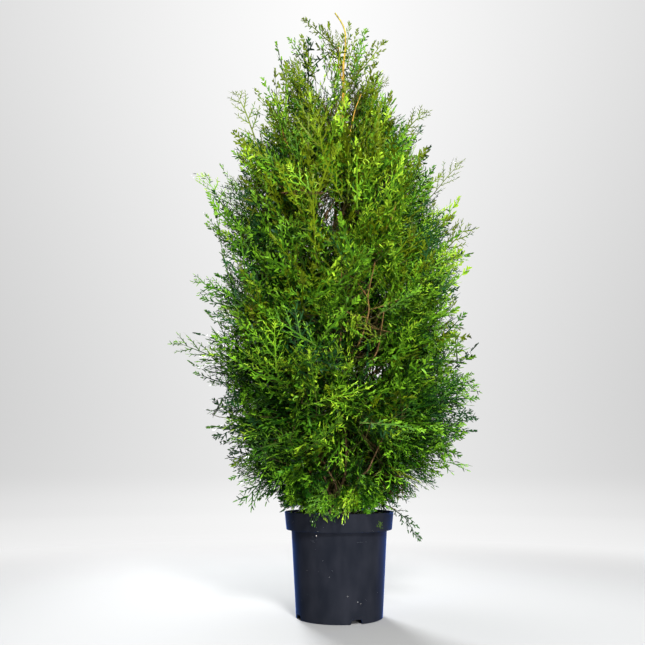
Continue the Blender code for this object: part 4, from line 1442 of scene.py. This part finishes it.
def bump_node(material, shader, texture, strength, distance):
    """Bumps from a texture, with the depth as a distance."""
    bump = add_node(material, "ShaderNodeBump")
    bump.inputs["Strength"].default_value = strength
    bump.inputs["Distance"].default_value = distance
    link(material, texture.outputs["Fac"], bump.inputs["Height"])
    link(material, bump.outputs["Normal"], shader.inputs["Normal"])


def grained(material, shader, scale, detail, stops):
    """Colour a material by a grain of noise, from rows of place and colour, and return the grain."""
    grain = noise_node(material, scale, detail)
    ramp = ramp_node(material, grain.outputs["Fac"], stops)
    link(material, ramp.outputs["Color"], shader.inputs["Base Color"])
    return grain


def foliage_material(tone):
    """Scale-leaved branchlets: a plain green with fine scales and a soft sheen."""
    colour = np.array(TONE_COLOURS[tone])
    made, shader = principled("foliage_" + TONES[tone], colour, roughness=0.45, specular=0.11)
    grained(made, shader, scale=26.0, detail=2.0, stops=((0.30, colour * 0.72), (0.70, colour * 1.25)))
    scales = noise_node(made, scale=620.0, detail=1.0)
    bump_node(made, shader, scales, strength=0.35, distance=0.0006)
    return made


def bark_material():
    """Fibrous bark: dark brown at the foot, red-brown higher up, orange-brown on the young leader."""
    made, shader = principled("bark", (0.12, 0.06, 0.03), roughness=0.82, specular=0.25)
    place = add_node(made, "ShaderNodeTexCoord")
    split = add_node(made, "ShaderNodeSeparateXYZ")
    link(made, place.outputs["Object"], split.inputs["Vector"])
    height = add_node(made, "ShaderNodeMapRange")
    height.inputs["From Min"].default_value = SOIL_TOP
    height.inputs["From Max"].default_value = TRUNK_LINE[-1][0]
    link(made, split.outputs["Z"], height.inputs["Value"])
    ages = ramp_node(made, height.outputs["Result"], (
        (0.0, (0.070, 0.042, 0.028)),
        (0.12, (0.170, 0.100, 0.042)),
        (0.45, (0.220, 0.122, 0.032)),
        (0.78, (0.600, 0.340, 0.045)),
        (1.0, (0.420, 0.350, 0.050)),
    ))
    fibres = noise_node(made, scale=240.0, detail=4.0, stretch=(1.0, 1.0, 0.12))
    stops = ((0.32, (0.45, 0.45, 0.45)), (0.68, (1.25, 1.25, 1.25)))
    shades = ramp_node(made, fibres.outputs["Fac"], stops)
    mixed = add_node(made, "ShaderNodeMix", data_type="RGBA", blend_type="MULTIPLY")
    mixed.inputs["Factor"].default_value = 1.0
    link(made, ages.outputs["Color"], mixed.inputs["A"])
    link(made, shades.outputs["Color"], mixed.inputs["B"])
    link(made, mixed.outputs["Result"], shader.inputs["Base Color"])
    bump_node(made, shader, fibres, strength=0.7, distance=0.0010)
    return made


def twig_material():
    """The smooth brown-green skin of the twigs."""
    made, shader = principled("twig", (0.14, 0.085, 0.025), roughness=0.65, specular=0.15)
    stops = ((0.30, (0.030, 0.030, 0.009)), (0.70, (0.090, 0.070, 0.020)))
    grained(made, shader, scale=45.0, detail=2.0, stops=stops)
    return made


def plastic_material():
    """Moulded charcoal plastic with a blue edge sheen, faint scuffs and dust."""
    made, shader = principled("pot_plastic", (0.006, 0.007, 0.011), roughness=0.40, specular=0.004)
    scuffs = noise_node(made, scale=38.0, detail=6.0, stretch=(1.0, 1.0, 0.45))
    stops = ((0.35, (0.006, 0.007, 0.010)), (0.75, (0.011, 0.012, 0.016)))
    ramp = ramp_node(made, scuffs.outputs["Fac"], stops)
    link(made, ramp.outputs["Color"], shader.inputs["Base Color"])
    rough = add_node(made, "ShaderNodeMapRange")
    rough.inputs["To Min"].default_value = 0.32
    rough.inputs["To Max"].default_value = 0.46
    link(made, scuffs.outputs["Fac"], rough.inputs["Value"])
    link(made, rough.outputs["Result"], shader.inputs["Roughness"])
    shader.inputs["Sheen Weight"].default_value = 1.0
    shader.inputs["Sheen Roughness"].default_value = 0.26
    shader.inputs["Sheen Tint"].default_value = (0.0, 0.055, 0.260, 1.0)
    grain = noise_node(made, scale=900.0, detail=2.0)
    bump_node(made, shader, grain, strength=0.12, distance=0.0003)
    return made


def scratch_material():
    """Scraped plastic, paler than the rest."""
    made, shader = principled("scratch", (0.060, 0.063, 0.072), roughness=0.6, specular=0.1)
    stops = ((0.35, (0.020, 0.022, 0.028)), (0.70, (0.075, 0.078, 0.088)))
    grained(made, shader, scale=320.0, detail=2.0, stops=stops)
    return made


def soil_material():
    """Dark brown peat with paler crumbs."""
    made, shader = principled("potting_soil", (0.035, 0.022, 0.014), roughness=0.95, specular=0.2)
    stops = ((0.30, (0.010, 0.007, 0.005)), (0.55, (0.040, 0.025, 0.015)), (0.80, (0.110, 0.070, 0.040)))
    crumbs = grained(made, shader, scale=160.0, detail=6.0, stops=stops)
    bump_node(made, shader, crumbs, strength=0.9, distance=0.0020)
    return made


def moss_material():
    """Dark, finely matted green."""
    made, shader = principled("moss", (0.06, 0.13, 0.02), roughness=0.9, specular=0.15)
    stops = ((0.30, (0.010, 0.026, 0.004)), (0.72, (0.038, 0.068, 0.009)))
    mat = grained(made, shader, scale=420.0, detail=4.0, stops=stops)
    bump_node(made, shader, mat, strength=0.8, distance=0.0012)
    return made


def perlite_material():
    """Chalky white grains."""
    made, shader = principled("perlite", (0.72, 0.71, 0.67), roughness=0.9, specular=0.2)
    stops = ((0.3, (0.50, 0.48, 0.43)), (0.7, (0.80, 0.79, 0.75)))
    grained(made, shader, scale=700.0, detail=2.0, stops=stops)
    return made


def arc_points(centre, radius, start, end, count):
    """Points of radius and height on an arc, from one angle in degrees to another."""
    rows = []
    for angle in np.linspace(math.radians(start), math.radians(end), count):
        rows.append((centre[0] + radius * math.cos(angle), centre[1] + radius * math.sin(angle)))
    return rows


def slope_points(low, high, shares):
    """Points of radius and height on a slope, at evenly spread shares of it."""
    return [(lerp(low[0], high[0], share), lerp(low[1], high[1], share)) for share in np.linspace(*shares)]


def pot_profile():
    """The pot's section with its rounded lips, from the underside's middle round to the inside."""
    band_bottom = POT_HEIGHT - BAND_HEIGHT
    lip_bottom = band_bottom + LIP_RADIUS
    lip_top = POT_HEIGHT - LIP_RADIUS
    foot_inner = BASE_RADIUS - FOOT_RING_WIDTH
    rows = [(PAD_RADIUS, 0.0), (PAD_RADIUS + PAD_DRAFT, FLOOR_BOTTOM)]
    rows += [(foot_inner, FLOOR_BOTTOM), (foot_inner, 0.0)]
    rows += arc_points((BASE_RADIUS - FOOT_EDGE, FOOT_EDGE), FOOT_EDGE, -90.0, 0.0, CORNER_POINTS)
    rows += slope_points((BASE_RADIUS, FOOT_EDGE), (BODY_TOP_RADIUS, band_bottom), BODY_SHARES)
    for outward, upward in BAND_CORNER:
        rows.append((BODY_TOP_RADIUS + outward, band_bottom + upward))
    rows += arc_points((BAND_FOOT_RADIUS - LIP_RADIUS, lip_bottom), LIP_RADIUS, -90.0, 0.0, CORNER_POINTS)
    rows += slope_points((BAND_FOOT_RADIUS, lip_bottom), (RIM_RADIUS, lip_top), BAND_SHARES)
    rows += arc_points((RIM_RADIUS - LIP_RADIUS, lip_top), LIP_RADIUS, 0.0, 180.0, LIP_POINTS)
    rows.append((BAND_FOOT_RADIUS - WALL, band_bottom + WALL))
    rows.append((BODY_TOP_RADIUS - WALL, band_bottom + WALL))
    rows.append((BASE_RADIUS - WALL, FLOOR_BOTTOM + FLOOR_THICKNESS))
    return rows


def turned_arrays(profile, segments, start_on_axis, end_on_axis):
    """Points and faces of a profile turned round the upright axis, with its ends closed on the axis."""
    profile = np.array(profile)
    angles = 2.0 * math.pi * np.arange(segments) / segments
    rounds = np.stack((np.cos(angles), np.sin(angles), np.zeros(segments)), axis=1)
    points = np.vstack([rounds * radius + UP * height for radius, height in profile])
    step = np.arange(segments)
    after = (step + 1) % segments
    faces = []
    for ring in range(len(profile) - 1):
        low = ring * segments
        high = low + segments
        faces.append(np.stack((low + step, low + after, high + after), axis=1))
        faces.append(np.stack((low + step, high + after, high + step), axis=1))
    count = len(points)
    if start_on_axis:
        points = np.vstack((points, (0.0, 0.0, profile[0][1])))
        faces.append(np.stack((np.full(segments, count), after, step), axis=1))
        count += 1
    if end_on_axis:
        last = (len(profile) - 1) * segments
        points = np.vstack((points, (0.0, 0.0, profile[-1][1])))
        faces.append(np.stack((np.full(segments, count), last + step, last + after), axis=1))
    return points, np.vstack(faces)


def notch_cutter(azimuth):
    """A bar with slanting sides that cuts one drain notch."""
    outward = heading(azimuth)
    across = heading(azimuth + 90.0)
    half = NOTCH_WIDTH / 2
    section = (
        (-half, 0.0),
        (-half * NOTCH_TAPER, NOTCH_HEIGHT),
        (half * NOTCH_TAPER, NOTCH_HEIGHT),
        (half, 0.0),
        (half, -NOTCH_HEIGHT),
        (-half, -NOTCH_HEIGHT),
    )
    points = []
    for reach in (BASE_RADIUS - NOTCH_DEPTH / 2, BASE_RADIUS + NOTCH_DEPTH / 2):
        for sideways, height in section:
            points.append(outward * reach + across * sideways + UP * height)
    mesh = bpy.data.meshes.new("notch")
    count = len(section)
    faces = [tuple(range(count)), tuple(reversed(range(count, 2 * count)))]
    for corner in range(count):
        after = (corner + 1) % count
        faces.append((after, corner, corner + count, after + count))
    mesh.from_pydata([tuple(point) for point in points], [], faces)
    shape = bmesh.new()
    shape.from_mesh(mesh)
    bmesh.ops.recalc_face_normals(shape, faces=shape.faces)
    shape.to_mesh(mesh)
    shape.free()
    cutter = bpy.data.objects.new("notch", mesh)
    bpy.context.scene.collection.objects.link(cutter)
    return cutter


def drain_cutter(azimuth, material):
    """An upright rod that cuts one drain hole through the pot's floor."""
    middle = heading(azimuth) * DRAIN_HOLE_PLACE
    ends = np.array((middle + UP * NOTCH_HEIGHT, middle + UP * (FLOOR_BOTTOM + 2 * FLOOR_THICKNESS)))
    points, faces = tube_arrays(ends, (DRAIN_HOLE_RADIUS, DRAIN_HOLE_RADIUS), DRAIN_SIDES)
    return joined_mesh("drain", points, faces, material, smooth=False)


def make_pot():
    """The pot as a fine turned shell, with its notches and drain holes cut out."""
    material = plastic_material()
    points, faces = turned_arrays(pot_profile(), POT_SEGMENTS, True, True)
    pot = joined_mesh("nursery_pot", points, faces, material)
    cutters = []
    for number in range(NOTCHES):
        azimuth = FIRST_NOTCH_AZIMUTH + 360.0 * number / NOTCHES
        cutters.append(notch_cutter(azimuth))
        cutters.append(drain_cutter(azimuth, material))
    group = bpy.data.collections.new("cutters")
    for cutter in cutters:
        group.objects.link(cutter)
    modifier = pot.modifiers.new("cut", "BOOLEAN")
    modifier.operation = "DIFFERENCE"
    modifier.solver = "EXACT"
    modifier.operand_type = "COLLECTION"
    modifier.collection = group
    bpy.context.view_layer.update()
    state = bpy.context.evaluated_depsgraph_get()
    cut = bpy.data.meshes.new_from_object(pot.evaluated_get(state))
    pot.modifiers.clear()
    pot.data = cut
    for cutter in cutters:
        bpy.data.objects.remove(cutter)
    bpy.data.collections.remove(group)
    pot.data.shade_smooth()
    pot.data.set_sharp_from_angle(angle=math.radians(SHARP_ANGLE))
    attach(pot, BODY)
    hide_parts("pot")


def soil_height(x, y):
    """The lumpy surface of the soil, which rises a little towards the trunk's foot."""
    mound = MOUND_HEIGHT * math.exp(-((x - MOUND_PLACE) ** 2 + y ** 2) / MOUND_SPREAD)
    height = SOIL_TOP + mound
    for scale, level, strength in SOIL_WAVES:
        height += strength * noise.noise(Vector((x * scale, y * scale, level)))
    return height


def make_soil():
    """The soil's lumpy surface, with a skirt down the pot's wall."""
    outer = RIM_RADIUS - WALL - SOIL_CLEARANCE
    profile = [(outer * ring / SOIL_RINGS, SOIL_TOP) for ring in range(1, SOIL_RINGS + 1)]
    profile.append((outer, SOIL_TOP - SOIL_SKIRT))
    points, faces = turned_arrays(profile, SOIL_SEGMENTS, True, False)
    for point in points:
        if point[2] == SOIL_TOP:
            point[2] = soil_height(point[0], point[1])
    soil = joined_mesh("soil_surface", points, faces[:, ::-1], soil_material())
    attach(soil, BODY)
    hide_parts("potting_soil")


def lump_arrays(place, size, rng):
    """A small irregular lump."""
    ball = bmesh.new()
    bmesh.ops.create_icosphere(ball, subdivisions=1, radius=1.0)
    stretch = rng.uniform(*LUMP_STRETCH, 3)
    points = []
    for vertex in ball.verts:
        points.append(np.array(vertex.co) * stretch * size * rng.uniform(*LUMP_ROUGHNESS) + place)
    faces = [[vertex.index for vertex in face.verts] for face in ball.faces]
    ball.free()
    return np.array(points), np.array(faces)


def soil_lump(x, y, sizes, rise, rng):
    """A lump whose middle lies a share of its size above the soil."""
    size = rng.uniform(*sizes)
    return lump_arrays(np.array((x, y, soil_height(x, y) + size * rise)), size, rng)


def scatter_lumps(name, material, count, sizes, rng):
    """Lumps strewn over the soil, joined into one piece."""
    store = MeshStore()
    for _ in range(count):
        radius = math.sqrt(rng.uniform(0.0, STREWN_RADIUS ** 2))
        angle = rng.uniform(0.0, 2.0 * math.pi)
        store.add(*soil_lump(radius * math.cos(angle), radius * math.sin(angle), sizes, LUMP_RISE, rng))
    joined_piece(name, store, material)


def make_moss(rng):
    """Low cushions of moss, most of them at the right and along the rim."""
    store = MeshStore()
    for azimuth, radius, spread in MOSS_PATCHES:
        centre = heading(azimuth) * radius
        for _ in range(int(spread * MOSS_DENSITY)):
            x, y = centre[:2] + rng.normal(0.0, spread * MOSS_GATHERING, 2)
            if math.hypot(x, y) <= MOSS_REACH:
                store.add(*soil_lump(x, y, MOSS_SIZES, MOSS_RISE, rng))
    joined_piece("moss", store, moss_material())


def pot_side(azimuth, height):
    """A point on the pot's outside."""
    band_bottom = POT_HEIGHT - BAND_HEIGHT
    if height > band_bottom:
        radius = lerp(BAND_FOOT_RADIUS, RIM_RADIUS, (height - band_bottom) / BAND_HEIGHT)
    else:
        radius = lerp(BASE_RADIUS, BODY_TOP_RADIUS, height / band_bottom)
    return heading(azimuth) * radius + UP * height


def make_pot_marks(rng):
    """Specks of perlite, a cushion of moss and faint scratches on the pot's outside."""
    store = MeshStore()
    for azimuth, height, size in POT_SPECKS:
        store.add(*lump_arrays(pot_side(azimuth, height), size, rng))
    for _ in range(DUST_SPECKS):
        point = pot_side(rng.uniform(0.0, 360.0), rng.uniform(*DUST_HEIGHTS))
        store.add(*lump_arrays(point, rng.uniform(*DUST_SIZES), rng))
    joined_piece("pot_specks", store, perlite_material())
    store = MeshStore()
    for _ in range(POT_MOSS_LUMPS):
        azimuth = POT_MOSS_AZIMUTH + rng.normal(0.0, POT_MOSS_TURN)
        point = pot_side(azimuth, POT_MOSS_HEIGHT + rng.normal(0.0, POT_MOSS_SPREAD))
        store.add(*lump_arrays(point, rng.uniform(*POT_MOSS_SIZES), rng))
    joined_piece("pot_moss", store, moss_material())
    store = MeshStore()
    for azimuth, height, spread in POT_SCRATCHES:
        for _ in range(SCRATCH_LINES):
            middle = azimuth + rng.normal(0.0, spread)
            level = height + rng.normal(0.0, SCRATCH_SPREAD)
            ends = [pot_side(middle + turn, level) for turn in SCRATCH_TURNS]
            store.add(*tube_arrays(ends, SCRATCH_RADII, SCRATCH_SIDES))
    joined_piece("pot_scratches", store, scratch_material())


def shown_limb(carrier, share, places, root_radius, tip_radius):
    """A side stem or twig that leaves its carrier and passes the given points."""
    root, _ = carrier.at(share)
    line = smooth_line([root, *places], SHOWN_SPANS * len(places) + 1)
    return Limb(line, np.linspace(root_radius, tip_radius, len(line)))


def plan_shown_stems(trunk, masses):
    """The side stems near the crown's surface, and the thin twigs on the first of them."""
    carriers = {mass.name: mass.bough for mass in masses}
    carriers["trunk"] = trunk
    limbs = []
    for name, share, radius, places in SHOWN_STEMS:
        limbs.append(shown_limb(carriers[name], share, places, radius, SHOWN_TIP_RADIUS))
    start = SHOWN_TIP_RADIUS * SHOWN_TWIG_START
    end = SHOWN_TIP_RADIUS * SHOWN_TWIG_END
    for share, places in SHOWN_TWIGS:
        limbs.append(shown_limb(limbs[0], share, places, start, end))
    return limbs


def bark_piece(name, limbs, sides, material, replaced=()):
    """Limbs with the relief of their bark, as one piece."""
    store = MeshStore()
    for limb in limbs:
        store.add(*tube_arrays(limb.points, limb.radii, sides, bark_relief))
    joined_piece(name, store, material, replaced)


def make_wood(trunk, masses, shown):
    """Trunk, boughs and stems."""
    material = bark_material()
    boughs = [mass.bough for mass in masses if mass.has_bough]
    bark_piece("trunk_bark", [trunk], TRUNK_SIDES, material, ["trunk"])
    replaced = [name for name in NODES if name.startswith("bough_")]
    bark_piece("bough_bark", boughs, BOUGH_SIDES, material, replaced)
    bark_piece("stem_bark", [mass.stem for mass in masses], STEM_SIDES, material)
    bark_piece("shown_stems", shown, STEM_SIDES, material)


def make_foliage(masses, shown, rng):
    """The crown's sprays and twigs as joined pieces."""
    stores, twigs = grow_foliage(crown_sprays(masses, shown, rng), masses, rng)
    replaced = [name for name in NODES if name.startswith("foliage_")]
    for tone, parts in stores.items():
        material = foliage_material(tone)
        for number, store in enumerate(parts, start=1):
            name = "sprays_%s_%d" % (TONES[tone], number)
            joined_piece(name, store, material, replaced, smooth=False)
    joined_piece("twigs", twigs, twig_material())


def math_node(material, operation, first, second):
    """A sum on two sockets or values; the first is always a socket."""
    node = add_node(material, "ShaderNodeMath", operation=operation)
    link(material, first, node.inputs[0])
    if isinstance(second, float):
        node.inputs[1].default_value = second
    else:
        link(material, second, node.inputs[1])
    return node.outputs["Value"]


def range_node(material, source, span, low, high):
    """A smooth step from one value to another over a span of the source."""
    node = add_node(material, "ShaderNodeMapRange", interpolation_type="SMOOTHSTEP")
    for name, value in zip(("From Min", "From Max", "To Min", "To Max"), (*span, low, high)):
        node.inputs[name].default_value = value
    link(material, source, node.inputs["Value"])
    return node.outputs["Result"]


def studio_material():
    """A white floor near the plant that passes into a pale glowing backdrop, darker to the sides."""
    white = (FLOOR_WHITE, FLOOR_WHITE, FLOOR_WHITE)
    made, shader = principled("studio", white, roughness=0.9, specular=0.05)
    place = add_node(made, "ShaderNodeTexCoord")
    split = add_node(made, "ShaderNodeSeparateXYZ")
    link(made, place.outputs["Object"], split.inputs["Vector"])
    flat = add_node(made, "ShaderNodeVectorMath", operation="MULTIPLY")
    flat.inputs[1].default_value = (1.0, 1.0, 0.0)
    link(made, place.outputs["Object"], flat.inputs[0])
    length = add_node(made, "ShaderNodeVectorMath", operation="LENGTH")
    link(made, flat.outputs["Vector"], length.inputs[0])
    distance = length.outputs["Value"]
    floor_glow = range_node(made, distance, FLOOR_SPAN, FLOOR_GLOW, WALL_GLOW)
    far = range_node(made, distance, FAR_SPAN, 0.0, FAR_GLOW)
    low = range_node(made, split.outputs["Z"], LOW_SPAN, 1.0, 0.0)
    floor_glow = math_node(made, "ADD", floor_glow, math_node(made, "MULTIPLY", far, low))
    rise = range_node(made, split.outputs["Z"], RISE_SPAN, 0.0, WALL_RISE)
    sideways = math_node(made, "ABSOLUTE", split.outputs["X"], 0.0)
    fall = math_node(made, "MULTIPLY", math_node(made, "POWER", sideways, SIDE_CURVE), SIDE_FALL)
    glow = math_node(made, "SUBTRACT", math_node(made, "ADD", floor_glow, rise), fall)
    front = range_node(made, split.outputs["Y"], FRONT_SPAN, FRONT_FALL, 0.0)
    glow = math_node(made, "SUBTRACT", glow, front)
    glow = math_node(made, "MAXIMUM", glow, LEAST_GLOW)
    lamp = add_node(made, "ShaderNodeEmission")
    link(made, glow, lamp.inputs["Strength"])
    mixed = add_node(made, "ShaderNodeMixShader")
    link(made, range_node(made, distance, LIT_FLOOR_SPAN, 0.0, 1.0), mixed.inputs["Fac"])
    link(made, shader.outputs["BSDF"], mixed.inputs[1])
    link(made, lamp.outputs["Emission"], mixed.inputs[2])
    output = made.node_tree.nodes["Material Output"]
    link(made, mixed.outputs["Shader"], output.inputs["Surface"])
    return made


def make_studio():
    """A round pale studio: a floor that takes the shadows, a backdrop all round, and soft lights."""
    profile = [(radius, 0.0) for radius in (*FLOOR_RINGS, FLOOR_REACH)]
    profile += arc_points((FLOOR_REACH, COVE), COVE, COVE_START, 0.0, COVE_POINTS)
    profile.append((FLOOR_REACH + COVE, BACKDROP_HEIGHT))
    points, faces = turned_arrays(profile, STUDIO_SEGMENTS, False, False)
    points[:, 2] -= FLOOR_DROP
    studio = joined_mesh("studio", points, faces[:, ::-1], studio_material())
    for name, place, target, size, power, colour in LIGHTS:
        data = bpy.data.lights.new(name, "AREA")
        data.shape = "RECTANGLE"
        data.size, data.size_y = size
        add_light(name, data, place, target, power, colour)
    for name, place, target, cone, size, power, colour in SPOTS:
        data = bpy.data.lights.new(name, "SPOT")
        data.spot_size = math.radians(cone)
        data.spot_blend = 1.0
        data.shadow_soft_size = size
        add_light(name, data, place, target, power, colour)
    world = bpy.data.worlds.new("studio_air")
    world.use_nodes = True
    air = world.node_tree.nodes["Background"]
    air.inputs["Color"].default_value = (*WHITE, 1.0)
    air.inputs["Strength"].default_value = AIR_STRENGTH
    bpy.context.scene.world = world


def add_light(name, data, place, target, power, colour):
    """Set up a light that looks at a point."""
    data.energy = power
    data.color = colour
    lamp = bpy.data.objects.new(name, data)
    lamp.location = place
    lamp.rotation_euler = (Vector(target) - Vector(place)).to_track_quat("-Z", "Y").to_euler()
    bpy.context.scene.collection.objects.link(lamp)


def make_camera():
    """The camera of the photograph."""
    data = bpy.data.cameras.new("camera")
    data.sensor_width = SENSOR_WIDTH
    data.lens = SENSOR_WIDTH * PHOTO_FOCAL_PIXELS / PHOTO_PIXELS
    camera = bpy.data.objects.new("camera", data)
    camera.location = CAMERA_PLACE
    camera.rotation_euler = (math.radians(90.0 + CAMERA_TILT), 0.0, 0.0)
    bpy.context.scene.collection.objects.link(camera)
    bpy.context.scene.camera = camera


def build():
    """Make every piece, the studio and the camera."""
    rng = np.random.default_rng(SEED)
    bpy.context.scene.view_settings.view_transform = "Standard"
    trunk = make_trunk_line()
    masses = place_masses(trunk)
    plan_limbs(masses, trunk)
    shown = plan_shown_stems(trunk, masses)
    make_wood(trunk, masses, shown)
    make_foliage(masses, shown, rng)
    make_pot()
    make_soil()
    scatter_lumps("perlite", perlite_material(), PERLITE_GRAINS, PERLITE_SIZES, rng)
    scatter_lumps("clods", soil_material(), CLODS, CLOD_SIZES, rng)
    make_moss(rng)
    make_pot_marks(rng)
    make_studio()
    make_camera()


build()
